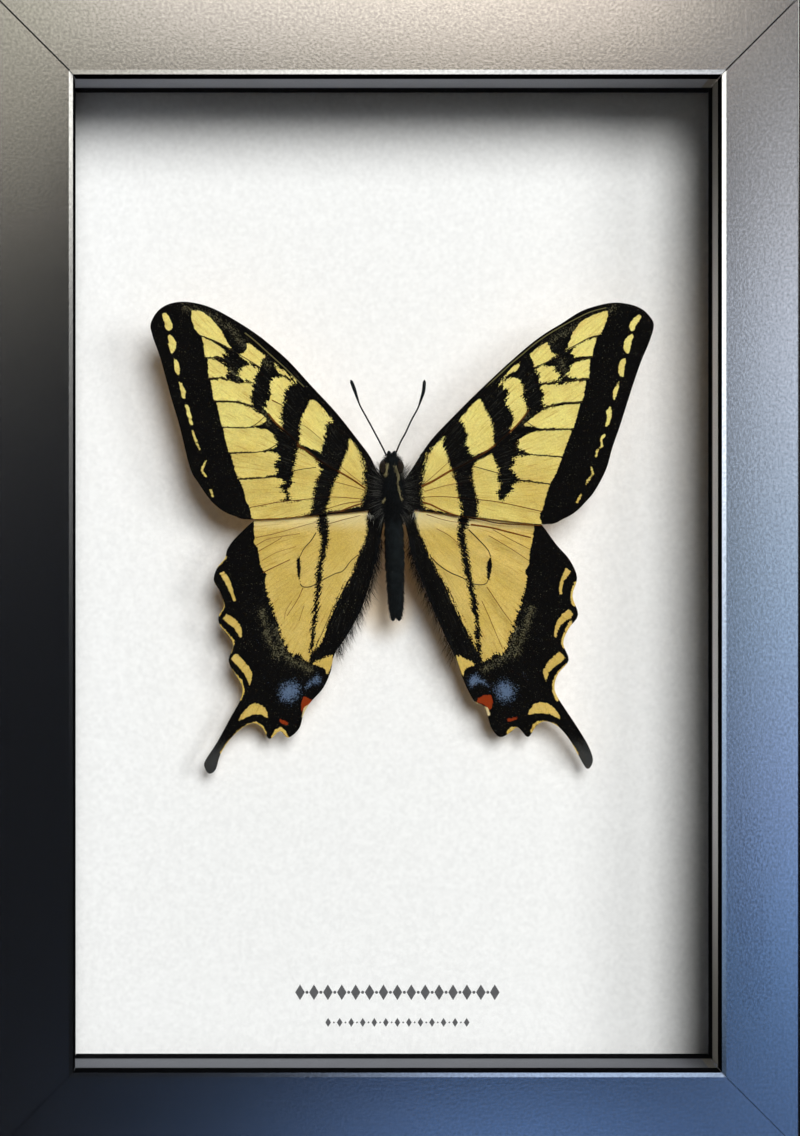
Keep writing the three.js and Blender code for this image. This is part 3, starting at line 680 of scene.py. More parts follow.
FOREWING_RIGHT = {
    "root": (414, 490),
    "outline": [
        (401, 484), (410.5, 470), (429.3, 441.5), (451.7, 417.4), (477.5, 391.6), (506.8, 364),
        (530, 344), (545, 333), (560, 324), (580, 311.5), (600, 305), (615.3, 302.9), (630, 305),
        (640, 309), (647, 315), (652.5, 325), (648, 342), (640, 361), (632, 384), (625, 406), (618, 428),
        (611, 448), (605, 469), (594, 490), (585, 501), (575, 511), (562, 518.5), (543, 523.9),
        (478, 517), (410.5, 509), (400, 507),
    ],
    "cells": [
        [(606, 311), (602, 311.5), (594, 314.5), (587, 318), (580, 322), (576, 327), (571, 333),
         (569, 340), (567, 346), (565.5, 350), (572, 347.5), (582, 341), (590, 337.5), (600, 334.5),
         (602, 329), (605, 322), (607, 315)],
        [(596, 337), (588, 340), (580, 344), (573, 349), (570.5, 353), (571, 356), (577, 357), (591, 356),
         (592, 350), (594, 343)],
        [(589, 359), (582, 360.5), (575, 362.5), (570, 366), (569, 371), (566, 375), (569, 377),
         (576, 378), (588, 378)],
        [(546, 342), (540, 345.5), (534, 350), (529, 354), (530, 358), (532.5, 362), (533, 367.5),
         (540, 365), (547, 361), (556, 355), (551, 354), (549, 350)],
        [(534, 369), (541, 366.5), (549, 366), (554, 367.5), (552.5, 370.5), (557, 373), (559, 376),
         (556, 379), (550, 381), (545, 383), (540, 383), (537, 372.5)],
        [(585, 380.5), (575, 381.5), (568, 383), (560, 385), (545, 385), (540, 386), (542, 391),
         (543, 397), (542, 403), (540, 407.5), (548, 405), (556, 403), (565, 402), (581, 401),
         (583, 395)],
        [(579, 403.5), (568, 404.5), (557, 406), (546, 409), (540, 411.5), (531, 418), (523, 425),
         (530, 426), (540, 428), (572, 428), (575, 420)],
        [(571, 430), (548, 430.5), (538, 431), (530, 432.5), (524, 435), (519, 439), (516, 445),
         (518, 448), (523, 451), (529, 453.5), (540, 454.5), (561, 456), (566, 443)],
        [(561, 457.5), (540, 455.5), (527, 455.5), (518, 456), (513, 458), (515, 463), (511, 469),
         (515, 474), (519, 479), (530, 480.5), (549, 483), (555, 473)],
        [(549, 484.5), (530, 482), (520, 481), (516, 482), (511, 486), (513, 489), (508, 494), (503, 500),
         (494, 500), (478, 500), (477, 508), (478, 517), (500, 521), (520, 523.5), (541, 524), (539, 518),
         (539, 513), (542, 508), (544, 500), (546, 492)],
        [(514, 377.5), (519, 381), (522, 387), (522.5, 392), (521, 397), (524, 402), (527, 408),
         (525, 413), (521, 419), (516, 425), (510, 431), (511, 425), (513, 419), (512, 414), (509, 409),
         (506, 404), (506, 400), (508, 396), (506, 390), (503, 386), (497, 384), (501, 381.5),
         (507, 378.5)],
        [(519, 362.5), (516, 370), (511, 373), (505, 375.5), (500, 379), (508, 371), (514, 365.5)],
        [(478, 399), (472, 404), (466, 411), (460, 417.5), (460, 421), (463, 423), (465, 430), (467, 436),
         (466, 443), (468, 448), (470, 453), (473, 456), (479, 453), (486, 450), (493, 446), (492, 440),
         (492, 430), (491, 422), (487, 414), (483, 406), (480, 400)],
        [(476, 461), (484, 457), (491, 453), (494, 461), (498, 470), (496, 478), (500, 485), (496, 492),
         (499, 501), (478, 501), (476, 494), (474, 486), (472, 477), (472, 468)],
        [(443, 437), (438, 441), (432, 448), (427, 456), (425, 464), (424, 472), (423, 479), (422, 495),
         (423, 500), (425, 508), (436, 510), (457, 515), (461, 515), (461, 510), (459, 503), (457, 494),
         (455, 484), (452, 474), (449, 466), (447, 458), (444, 450), (442, 443)],
    ],
    "dashes": [
        [(638, 314.5), (640, 317), (638, 321), (634, 326), (633, 331), (630, 331), (628, 328), (629, 323),
         (633, 318)],
        [(631, 334), (632, 337), (630, 342), (629, 349), (627, 354), (624, 352), (622, 348), (623, 342),
         (627, 336)],
        [(624, 358.5), (625, 360), (623, 367), (622, 377), (619, 376), (617, 371), (618, 363),
         (621, 359)],
        [(618, 381), (617.5, 387), (615, 395), (613, 400), (611.5, 398), (612, 391), (615, 385)],
        [(609, 406), (610.5, 409), (610, 417), (608, 424), (605.5, 428), (604, 426), (606, 419),
         (605, 411)],
    ],
    "scratches": [
        [(603, 435), (600, 439), (601, 446), (596, 450), (595, 456)],
        [(590, 467), (592, 474), (588, 478), (585, 484)],
        [(580, 494), (578, 498), (576, 502)],
    ],
    "stripes": [
        [(500, 388), (502, 420), (510, 445), (505, 470), (505, 492)],
        [(452, 430), (458, 460), (466, 490), (468, 515)],
        [(533, 378), (532, 404)],
        [(562, 362), (560, 376)],
        [(424, 450), (420, 500)],
    ],
    "speckles": [
        [(612, 309), (585, 322), (560, 335), (545, 345)], [(560, 362), (566, 374)],
        [(528, 416), (522, 422)],
    ],
    "veins": [
        ([(598, 335.5), (588, 338), (575, 345), (560, 353), (548, 361), (533, 368)], 0.09, DARK),
        ([(592, 357), (570, 361)], 0.08, DARK),
        ([(588, 379), (560, 382), (541, 384)], 0.09, DARK),
        ([(581, 402.5), (560, 403), (540, 409)], 0.09, DARK),
        ([(573, 429), (540, 429), (526, 422)], 0.08, DARK),
        ([(562, 456.5), (540, 455), (528, 453.5), (510, 444)], 0.08, DARK),
        ([(549, 483.5), (519, 479.5), (498, 473), (473, 466)], 0.09, DARK),
        ([(541, 511), (500, 502), (476, 499), (440, 496), (422, 497)], 0.07, RUST),
        ([(421, 486), (432, 481), (449, 471), (460, 466), (471, 460), (480, 455), (493, 446)], 0.2, RUST),
        ([(493, 446), (502, 438), (510, 431), (516, 425), (522, 418), (528, 410)], 0.16, RUST),
        ([(422, 502), (430, 504), (440, 509), (450, 513), (458, 515.5)], 0.16, RUST),
        ([(423, 484), (438, 471), (452, 458)], 0.05, RUST),
        ([(424, 491), (446, 485), (470, 481)], 0.05, RUST),
        ([(424, 506), (446, 515), (474, 519)], 0.05, RUST),
        ([(440, 436), (452, 426), (462, 420)], 0.04, RUST),
        ([(462, 516), (480, 519), (500, 523), (541, 525)], 0.13, RUST),
        ([(480, 391), (496, 377), (510, 364), (522, 354), (530, 347), (545, 336), (560, 327), (575, 319),
          (590, 312), (605, 308)], 0.11, OLIVE),
        ([(420, 456), (452, 419), (478, 393), (507, 365), (530, 346)], 0.2, DARK),
    ],
    "tuft": ([(412, 511), (420, 513)], (-0.25, 1), 1.1, 17, 0.3, 32),
}
HINDWING_LEFT = {
    "root": (374, 512),
    "outline": [
        (384, 500), (375, 500), (300, 502), (262, 515), (238, 535), (227.9, 548), (225, 558),
        (217.7, 566.6), (214, 579.5), (221, 592), (224.2, 605.4), (218.7, 615.6), (220.5, 624.8),
        (230, 636), (233.5, 646), (228.8, 660), (237.2, 675.7), (242.7, 686.8), (240, 699.7),
        (230.7, 716.4), (217.7, 740.4), (205.7, 759), (205, 766), (209.4, 772.2), (215.9, 768.2),
        (220.5, 753.4), (229.8, 738.6), (243.6, 725.6), (254.7, 721.9), (263, 727.5), (269.5, 737.7),
        (280, 729.8), (288, 736.4), (299, 727.5), (303, 714.5), (307, 706), (313, 698.3), (323.2, 686.8),
        (330.6, 670.2), (334.3, 653.5), (349, 631.3), (362, 605.4), (372, 574), (379, 545), (384, 520),
    ],
    "field": [
        (254, 505), (254, 530), (255, 537), (254, 543), (258, 547), (259.5, 557), (260.5, 565),
        (264, 571), (267, 573), (265, 579), (265.5, 585), (268, 593), (271, 602), (274, 611), (277, 619),
        (280, 627), (282, 635), (285, 643), (290, 652), (293, 654), (297, 652), (303, 656), (306, 660),
        (311, 663), (311, 655), (317, 646), (324, 632), (330, 616), (333, 608), (339, 593), (344, 586),
        (348, 578), (353, 570), (356, 562), (360, 549), (364, 541), (367, 527), (366, 520), (369, 505),
    ],
    "stripe": [
        (318, 500), (317, 523), (318, 531), (321, 538), (320, 552), (317, 567), (315.5, 574), (316, 582),
        (314, 598), (312, 615), (310, 640), (309, 668), (314, 668), (314, 645), (315, 628), (317.5, 613),
        (319, 597), (322, 580), (322, 572), (325, 557), (328.5, 540), (328.5, 530), (326.5, 500),
    ],
    "crescent": [
        (299, 554), (300.5, 559), (301, 566), (300, 578), (301, 582), (299, 580), (297.5, 574),
        (296.5, 567), (296.5, 560),
    ],
    "patches": [
        [(311, 662), (317, 660.5), (328, 655.5), (332, 654), (333, 659), (329, 671), (327, 674),
         (325, 668), (316, 664)],
        [(220, 573), (224, 571), (227, 574), (230, 579), (232, 585), (234, 592), (236, 600), (233.5, 600),
         (229, 589), (226, 583)],
        [(223, 618), (227, 613.5), (231, 615), (236, 619), (240, 624), (242, 629), (242, 636), (240, 637),
         (238, 633), (234, 627), (229, 623)],
        [(231.5, 658), (234, 653.5), (237, 653), (240, 656), (245, 661), (250, 667), (252.5, 673),
         (251.5, 679), (250, 684), (248, 680), (245.5, 674), (240, 667), (235, 662)],
        [(238, 720), (241, 714), (245, 709), (250, 704), (255, 702), (260, 703), (265, 706), (267.5, 711),
         (268, 717), (265, 715.5), (261, 713), (256, 713), (250, 714.5), (244, 717.5)],
    ],
    "fringe": [
        [(226, 556), (217, 566)],
        [(214, 583), (224, 605), (219, 614)],
        [(220, 625), (233, 640), (231, 651)],
        [(229, 667), (241, 680), (243, 690), (240, 698)],
        [(222, 752), (229, 741), (238, 731), (248, 724), (256, 722), (262, 726), (265, 732)],
        [(273, 736), (276, 730), (280, 727.5), (284, 730), (288, 737)],
    ],
    "orange": [
        [(280, 718), (285, 719.5), (289, 722), (287, 724), (283, 722.5), (280, 721)],
        [(304, 695), (308, 697), (312, 699), (311, 703), (307, 705), (302, 712), (301, 706), (302, 700)],
    ],
    "cream": [[(303, 715), (305, 708), (309, 704.5), (312, 703)]],
    "blue": [
        [(279, 686), (286, 680), (294, 679), (300, 683), (301, 691), (297, 699), (289, 703), (281, 700),
         (278, 693)],
        [(305, 687), (310, 681), (317, 674), (320, 677), (320, 682), (316, 682)],
    ],
    "faint_blue": [[(252, 634), (260, 642)], [(264, 676), (270, 684)], [(276, 700), (300, 704)]],
    "dusk": [[(276, 628), (284, 654), (296, 662), (310, 668)], [(262, 610), (268, 636), (278, 656)]],
    "feathered": [
        [(322, 520), (320, 560), (315, 600), (312, 650)], [(366, 530), (345, 590), (325, 640)],
        [(270, 600), (285, 640), (296, 658)],
    ],
    "veins": [
        ([(300, 583), (303, 586), (310, 586), (316, 583), (325, 578), (335, 573), (343, 570), (350, 561),
          (358, 554)], 0.09, DARK),
        ([(316, 532), (311, 540), (304, 548), (300, 556)], 0.09, DARK),
        ([(303, 587), (298, 598), (293, 606), (287, 615)], 0.06, RUST),
        ([(304, 605), (299, 620)], 0.04, RUST),
        ([(263, 572), (275, 566), (290, 559)], 0.09, RUST),
        ([(256, 537), (275, 533), (300, 526), (318, 521)], 0.05, RUST),
        ([(256, 545), (270, 538), (300, 533)], 0.05, RUST),
        ([(258, 551), (272, 543), (282, 537)], 0.05, RUST),
        ([(262, 560), (276, 552), (296, 546)], 0.04, RUST),
        ([(326, 524), (344, 519), (360, 515)], 0.06, RUST),
        ([(292, 600), (286, 610), (284, 620)], 0.04, RUST),
        ([(333, 606), (322, 632), (312, 655)], 0.06, DARK),
    ],
    "tuft": ([(336, 650), (362, 603), (374, 565), (380, 535)], (0.25, 1), 2.6, 700, 0.25, 33),
}
HINDWING_RIGHT = {
    "root": (412, 512),
    "outline": [
        (402, 500), (411, 500), (490, 504), (530, 514), (555.7, 544.4), (568.6, 559.2), (576, 577),
        (571.4, 595), (577, 614), (567.7, 627.6), (562.2, 642.4), (567.7, 659), (557.5, 672),
        (553.5, 684), (555.7, 694.2), (565, 709), (576, 725.6), (587, 744), (591.8, 759), (586, 767.5),
        (577, 753.4), (568.6, 738.6), (557.5, 725.6), (544.6, 720), (535.3, 724.7), (527, 735.8),
        (517, 726), (509.5, 731.2), (499.3, 735.8), (491, 727.5), (487.3, 716.4), (483.6, 705.3),
        (475.2, 701.6), (468.8, 692.3), (461.4, 675.7), (456.8, 660.9), (441, 627.6), (426.2, 592.5),
        (414, 560), (408, 538), (403, 515),
    ],
    "field": [
        (413, 505), (417, 525), (420, 533), (424, 541), (430, 556), (434, 564), (438, 571), (443, 580),
        (448, 589), (455, 606), (460, 615), (467, 631), (470, 638), (478, 650), (480, 662), (490, 656),
        (495, 652), (500, 653), (504, 650), (507, 644), (511, 630), (516, 614), (521, 600), (525, 585),
        (526, 576), (524, 571), (528, 564), (529, 549), (531, 543), (533, 529), (533, 505),
    ],
    "stripe": [
        (457, 500), (458, 526), (456, 534), (458, 543), (462, 562), (466, 580), (470, 600), (474, 620),
        (475, 640), (477, 668), (482, 668), (480, 648), (479, 626), (477, 606), (473, 586), (470, 567),
        (467, 549), (464, 531), (468, 525), (467, 500),
    ],
    "crescent": [
        (490, 556), (491, 561), (491, 567), (489, 579), (487, 577), (486, 570), (486, 563),
    ],
    "patches": [
        [(455, 654), (463, 657), (469, 660), (475, 664), (470, 665), (466, 667), (463, 671), (462, 676),
         (459, 669)],
        [(565, 567), (570, 571), (567, 575), (563, 580), (561, 587), (561, 593), (558.5, 594), (558, 587),
         (560, 578)],
        [(568, 608), (572, 613), (570, 617), (564, 620), (559, 625), (556, 632), (555, 637), (553, 634),
         (554, 626), (557, 619), (562, 613)],
        [(559, 650), (564, 657), (560, 661), (553, 666), (548, 671), (546, 678), (545, 682), (542, 670),
         (546, 663), (552, 656)],
        [(527, 714), (529, 708), (533, 703), (539, 701), (546, 702), (552, 706), (557, 712), (560, 718),
         (555, 716), (549, 713), (541, 712), (534, 712)],
    ],
    "fringe": [
        [(575, 582), (572, 590), (571, 598), (573, 604)],
        [(570, 621), (565, 630), (562, 640), (563, 646)],
        [(566, 664), (558, 671), (553, 680), (553, 690), (556, 698)],
        [(531, 730), (533, 724), (538, 721), (546, 721), (555, 725), (563, 733), (570, 743), (576, 753)],
        [(507, 732), (510, 727.5), (515, 727), (518, 729), (521, 733)],
    ],
    "orange": [
        [(506, 717.5), (511, 717), (516, 715.5), (516, 718), (511, 720), (507, 720)],
        [(478, 696), (485, 694), (490, 694), (492, 700), (491, 706), (489, 709), (486, 705), (476, 701)],
    ],
    "cream": [[(474, 702), (480, 705), (486, 708), (488, 713)]],
    "blue": [
        [(494, 683), (500, 679), (508, 679), (515, 686), (516, 693), (512, 699), (504, 702), (496, 698),
         (493, 690)],
        [(468, 680), (471, 675), (475, 673), (479, 677), (488, 685), (483, 683), (477, 681), (474, 685),
         (470, 685)],
    ],
    "faint_blue": [[(534, 636), (541, 644)], [(522, 672), (528, 679)], [(492, 702), (512, 700)]],
    "dusk": [[(516, 626), (508, 652), (496, 662), (484, 668)], [(530, 608), (522, 634), (514, 654)]],
    "feathered": [
        [(463, 520), (464, 550), (473, 600), (478, 645)], [(420, 530), (445, 585), (470, 640)],
        [(520, 600), (508, 640), (496, 656)],
    ],
    "veins": [
        ([(468, 529), (478, 539), (487, 549), (490, 556)], 0.1, DARK),
        ([(430, 556), (438, 564), (450, 572), (462, 577), (470, 582), (478, 584), (485, 583), (488, 578)],
          0.1, DARK),
        ([(486, 586), (494, 598), (502, 610), (511, 622)], 0.06, RUST),
        ([(481, 600), (488, 615), (495, 632), (502, 648)], 0.05, RUST),
        ([(470, 524), (490, 527), (510, 532), (530, 537)], 0.16, RUST),
        ([(488, 535), (510, 548), (528, 560)], 0.05, RUST),
        ([(426, 514), (446, 520), (466, 523)], 0.06, RUST),
        ([(436, 528), (450, 536), (462, 548)], 0.05, RUST),
        ([(492, 529), (512, 540), (530, 549)], 0.05, RUST),
    ],
    "tuft": ([(455, 655), (428, 595), (414, 560), (411, 535)], (-0.2, 1), 2.4, 700, 0.25, 34),
}

# The forewings are palest along their hind edges, and the hindwings above a grid height. The tails turn
# grey below another.
FOREWING_HIND_EDGES = [[(300, 516), (360, 506)], [(430, 505), (500, 520)]]
HINDWING_PALE_TO = 525
TAIL_GREY_FROM = 745

# What each field of a wing's markings is where the wing has no such marking, in mm.
UNMARKED = {"yellow": -9, "fray": 0.2, "pale": -9, "dusk": -9, "grey": -9, "blue": -9, "orange": -9,
            "cream": -9}

# ---------------------------------------------------------------- wing materials

def scaled_wing(name, pale, deep, washed, fold_shade):
    """Dry wing scales on a film: a powdery matt skin, streaked from its root, with ragged colour borders and
    painted fold shade on the yellow.

    Its grains are drawn 0.26 mm across, coarser than life. Each marking's field says how far a place lies
    inside it, in mm, and fray says how far the border of the yellow is feathered.
    """
    material, tree, shader, place = new_material(
        name, pale, Roughness=0.8, Specular_IOR_Level=0.0, Subsurface_Weight=0.7,
        Subsurface_Radius=(1.0, 0.75, 0.35), Subsurface_Scale=0.15 * MM)

    fields = {}
    for field in UNMARKED:
        read = add_node(tree, "ShaderNodeAttribute", {"attribute_name": field}, {})
        fields[field] = read.outputs["Fac"]
    fan = add_node(tree, "ShaderNodeAttribute", {"attribute_name": "fan"}, {})
    patterns = (  # where it is measured, size, detail, roughness
        (fan.outputs["Vector"], 1.0, 4.0, 0.65), (place, 0.26, 3.0, 0.6), (place, 5.0, 3.0, 0.6),
        (place, 0.2, 1.0, 0.6))
    grains = []
    for where, size, detail, rough in patterns:
        noise = add_node(tree, "ShaderNodeTexNoise", {},
                         {"Vector": where, "Scale": 1 / size, "Detail": detail, "Roughness": rough})
        middle = add_node(tree, "ShaderNodeMath", {"operation": "SUBTRACT"},
                          {0: noise.outputs["Fac"], 1: 0.5})
        grains.append(middle.outputs[0])
    bristle, fine, broad, speck = grains
    fray = add_node(tree, "ShaderNodeMath", {"operation": "MULTIPLY_ADD"},
                    {0: bristle, 1: 1.3, 2: fine}).outputs[0]
    strewn = add_node(tree, "ShaderNodeMath", {"operation": "MULTIPLY_ADD"},
                      {0: bristle, 1: 0.25, 2: fine}).outputs[0]

    def cover(amount, weight, rest, least, most, top=1.0):
        """How much a coat covers: amount x weight + rest, from none at least to the top at most."""
        total = add_node(tree, "ShaderNodeMath", {"operation": "MULTIPLY_ADD"},
                         {0: amount, 1: weight, 2: rest})
        share = add_node(tree, "ShaderNodeMapRange", {"interpolation_type": "SMOOTHSTEP"},
                         {"Value": total.outputs[0], "From Min": least, "From Max": most, "To Max": top})
        return share.outputs[0]

    def coated(colour, coats):
        """A colour under coats, each of them how much it covers and its colour, from the lowest up."""
        for share, coat in coats:
            mix = add_node(tree, "ShaderNodeMix", {"data_type": "RGBA"}, {0: share, 6: colour, 7: coat})
            colour = mix.outputs[2]
        return colour

    split = add_node(tree, "ShaderNodeSeparateXYZ", {}, {0: place})
    height = add_node(tree, "ShaderNodeMapRange", {},
                      {"Value": split.outputs["Z"], "From Min": 108, "From Max": 124,
                       "To Min": 0.15, "To Max": 0.8})
    lift = add_node(tree, "ShaderNodeMath", {"operation": "ADD"}, {0: bristle, 1: height.outputs[0]})
    cloud = add_node(tree, "ShaderNodeMath", {"operation": "MULTIPLY_ADD", "use_clamp": True},
                     {0: broad, 1: 1.6, 2: lift.outputs[0]})
    powder = add_node(tree, "ShaderNodeMapRange", {},
                      {"Value": fine, "From Min": -0.2, "From Max": 0.2, "To Min": 0.82, "To Max": 1.1})
    yellow = add_node(tree, "ShaderNodeVectorMath", {"operation": "SCALE"},
                      {0: coated(linear(deep), [(cloud.outputs[0], linear(pale))]),
                       "Scale": powder.outputs[0]})
    # Painted shade: the yellow darkens in brown streaks radiating from the root, where the wing's folds shade
    # it.
    yellow = coated(yellow.outputs[0], [
        (cover(fray, 0.8, fields["pale"], -1.6, 1.6, 0.7), linear(washed)),
        (cover(bristle, 1, 0, -0.02, -0.22, 0.6), linear(fold_shade))])

    patchy = add_node(tree, "ShaderNodeMath", {"operation": "MULTIPLY_ADD"},
                      {0: fields["fray"], 1: 0.2, 2: -0.08})
    silk = add_node(tree, "ShaderNodeMath", {"operation": "MULTIPLY"},
                    {0: cover(bristle, 1, 0, 0.02, 0.22, 0.5), 1: patchy.outputs[0]})
    streak = add_node(tree, "ShaderNodeMath", {"operation": "ADD"}, {0: bristle, 1: 0.5})
    black = coated(linear("060606"), [
        (streak.outputs[0], linear("100f0e")),
        (silk.outputs[0], linear("6a6a60")),
        (cover(speck, 1, 0, 0.17, 0.28, 0.34), linear("8f8a70")),
        (cover(fields["dusk"], 0.16, strewn, 0, 0.34, 0.8), linear("807a5c")),
        (cover(fray, 1.2, fields["grey"], -0.9, 0.9), linear("3a3b3a"))])
    colour = coated(black, [
        (cover(fray, fields["fray"], fields["yellow"], -0.06, 0.06), yellow),
        (cover(fields["blue"], 0.2, strewn, 0, 0.34, 0.66), linear("7288a8")),
        (cover(fray, 0.4, fields["orange"], -0.1, 0.1), linear("8a3414")),
        (cover(fray, 0.3, fields["cream"], -0.08, 0.08), linear("cdbb8c"))])
    bump = add_node(tree, "ShaderNodeBump", {}, {"Height": fine, "Strength": 0.5, "Distance": 0.06 * MM})
    tree.links.new(colour, shader.inputs["Base Color"])
    tree.links.new(bump.outputs[0], shader.inputs["Normal"])
    return material


def wing_underside():
    """The scales under the wings, which face the board: ochre and powdery, in soft clouds 4 mm across."""
    material, tree, shader, place = new_material("wing_underside", "cf9a58", Roughness=0.85,
                                                 Specular_IOR_Level=0.0)
    cloud = add_node(tree, "ShaderNodeTexNoise", {}, {"Vector": place, "Scale": 1 / 4, "Detail": 4.0})
    tint = add_node(tree, "ShaderNodeMix", {"data_type": "RGBA"},
                    {0: cloud.outputs["Fac"], 6: linear("b88a40"), 7: linear("dcb258")})
    tree.links.new(tint.outputs[2], shader.inputs["Base Color"])
    return material


def vein_skin(name, dark, light):
    """A horny wing vein: dark where it crosses black, lighter and browner where it crosses yellow."""
    material, tree, shader, place = new_material(name, dark, Roughness=0.55, Specular_IOR_Level=0.02)
    read = add_node(tree, "ShaderNodeAttribute", {"attribute_name": "yellow"}, {})
    share = add_node(tree, "ShaderNodeMapRange", {},
                     {"Value": read.outputs["Fac"], "From Min": -0.5, "From Max": 0.1})
    mottle = add_node(tree, "ShaderNodeTexNoise", {}, {"Vector": place, "Scale": 1 / 0.5, "Detail": 3.0})
    patchy = add_node(tree, "ShaderNodeMath", {"operation": "MULTIPLY"},
                      {0: share.outputs[0], 1: mottle.outputs["Fac"]})
    lifted = add_node(tree, "ShaderNodeMath", {"operation": "MULTIPLY", "use_clamp": True},
                      {0: patchy.outputs[0], 1: 1.7})
    tint = add_node(tree, "ShaderNodeMix", {"data_type": "RGBA"},
                    {0: lifted.outputs[0], 6: linear(dark), 7: linear(light)})
    tree.links.new(tint.outputs[2], shader.inputs["Base Color"])
    return material


def insect_hair(name, root, tip):
    """Fine insect hair: dull and silky, a little lighter in places."""
    material, tree, shader, place = new_material(name, root, Roughness=0.6, Specular_IOR_Level=0.02)
    clump = add_node(tree, "ShaderNodeTexNoise", {}, {"Vector": place, "Scale": 1 / 0.6, "Detail": 2.0})
    tint = add_node(tree, "ShaderNodeMix", {"data_type": "RGBA"},
                    {0: clump.outputs["Fac"], 6: linear(root), 7: linear(tip)})
    tree.links.new(tint.outputs[2], shader.inputs["Base Color"])
    return material


def black_chitin():
    """Insect skin: near black, finely pitted, with a dull shine."""
    material, tree, shader, place = new_material("black_chitin", "141414", Roughness=0.5,
                                                 Specular_IOR_Level=0.05)
    pits = add_node(tree, "ShaderNodeTexVoronoi", {}, {"Vector": place, "Scale": 1 / 0.12})
    cloud = add_node(tree, "ShaderNodeTexNoise", {}, {"Vector": place, "Scale": 1 / 0.8, "Detail": 3.0})
    tint = add_node(tree, "ShaderNodeMix", {"data_type": "RGBA"},
                    {0: cloud.outputs["Fac"], 6: linear("08090a"), 7: linear("1f2426")})
    bump = add_node(tree, "ShaderNodeBump", {},
                    {"Height": pits.outputs["Distance"], "Strength": 0.4, "Distance": 0.02 * MM})
    tree.links.new(tint.outputs[2], shader.inputs["Base Color"])
    tree.links.new(bump.outputs[0], shader.inputs["Normal"])
    return material


def compound_eye():
    """A dried compound eye: dark brown and glossy. Its facets are drawn 0.1 mm wide, coarser than life."""
    material, tree, shader, place = new_material("compound_eye", "1d1612", Roughness=0.22,
                                                 Specular_IOR_Level=0.5)
    facets = add_node(tree, "ShaderNodeTexVoronoi", {"feature": "DISTANCE_TO_EDGE"},
                      {"Vector": place, "Scale": 1 / 0.1, "Randomness": 0.2})
    bands = add_node(tree, "ShaderNodeTexNoise", {}, {"Vector": place, "Scale": 1 / 0.7})
    tint = add_node(tree, "ShaderNodeMix", {"data_type": "RGBA"},
                    {0: bands.outputs["Fac"], 6: linear("0e0c0a"), 7: linear("2c241e")})
    bump = add_node(tree, "ShaderNodeBump", {},
                    {"Height": facets.outputs["Distance"], "Strength": 0.4, "Distance": 0.02 * MM})
    tree.links.new(tint.outputs[2], shader.inputs["Base Color"])
    tree.links.new(bump.outputs[0], shader.inputs["Normal"])
    return material


# ---------------------------------------------------------------- wings

FILM_PITCH = 1.3  # grid cells between the film's points, 0.22 mm
FILM_THICKNESS = 0.08
VEIN_RIDGE = 0.14  # how far the film rises along a vein
VEIN_RIDGE_WIDTH = 0.7
PLEAT = 0.10  # how far the pleats between the veins rise and fall
PLEATS = 26  # in a full turn about the root
SCALE_ROWS = 70  # in one radian about the root
STREAK_LENGTH = 3.5  # of the streaks that the rows of scales make


def film(outline):
    """A flat wing film on the grid, y upwards, cut into small squares and given its thickness."""
    mesh = bmesh.new()
    rim = [mesh.verts.new((x, -y, 0)) for x, y in smooth_route(outline, 4)]
    face = mesh.faces.new(rim)
    face.normal_update()
    if face.normal.z < 0:
        bmesh.ops.reverse_faces(mesh, faces=[face])
    corners = np.asarray(outline)
    for axis, values, sign in ((0, corners[:, 0], 1), (1, corners[:, 1], -1)):
        for cut in np.arange(values.min() + 0.6, values.max(), FILM_PITCH):
            place, direction = Vector((0, 0, 0)), Vector((0, 0, 0))
            place[axis] = sign * cut
            direction[axis] = 1
            bmesh.ops.bisect_plane(mesh, geom=mesh.verts[:] + mesh.edges[:] + mesh.faces[:],
                                   dist=0.02, plane_co=place, plane_no=direction)
    bmesh.ops.solidify(mesh, geom=mesh.faces[:], thickness=FILM_THICKNESS / CELL)
    bmesh.ops.recalc_face_normals(mesh, faces=mesh.faces[:])
    for face in mesh.faces:
        if face.normal.z < -0.5:
            face.material_index = UNDERSIDE
    return mesh


def rods(routes, roundness):
    """Round rods along routes of (points, radius at each point), as one mesh."""
    curve = bpy.data.curves.new("rods", "CURVE")
    curve.dimensions = "3D"
    curve.bevel_depth = 1
    curve.bevel_resolution = roundness
    curve.use_fill_caps = True
    for points, radii in routes:
        spline = curve.splines.new("POLY")
        spline.points.add(len(points) - 1)
        for point, place, radius in zip(spline.points, points, radii):
            point.co = (*place, 1)
            point.radius = radius
    holder = bpy.data.objects.new("rods", curve)
    bpy.context.scene.collection.objects.link(holder)
    made = bpy.data.meshes.new_from_object(holder.evaluated_get(bpy.context.evaluated_depsgraph_get()))
    bpy.data.objects.remove(holder)
    return made


def add_part(mesh, part, slot):
    """Joins a part into a bmesh and gives its faces a material slot."""
    first = len(mesh.faces)
    mesh.from_mesh(part)
    mesh.faces.ensure_lookup_table()
    for face in mesh.faces[first:]:
        face.material_index = slot
    bpy.data.meshes.remove(part)


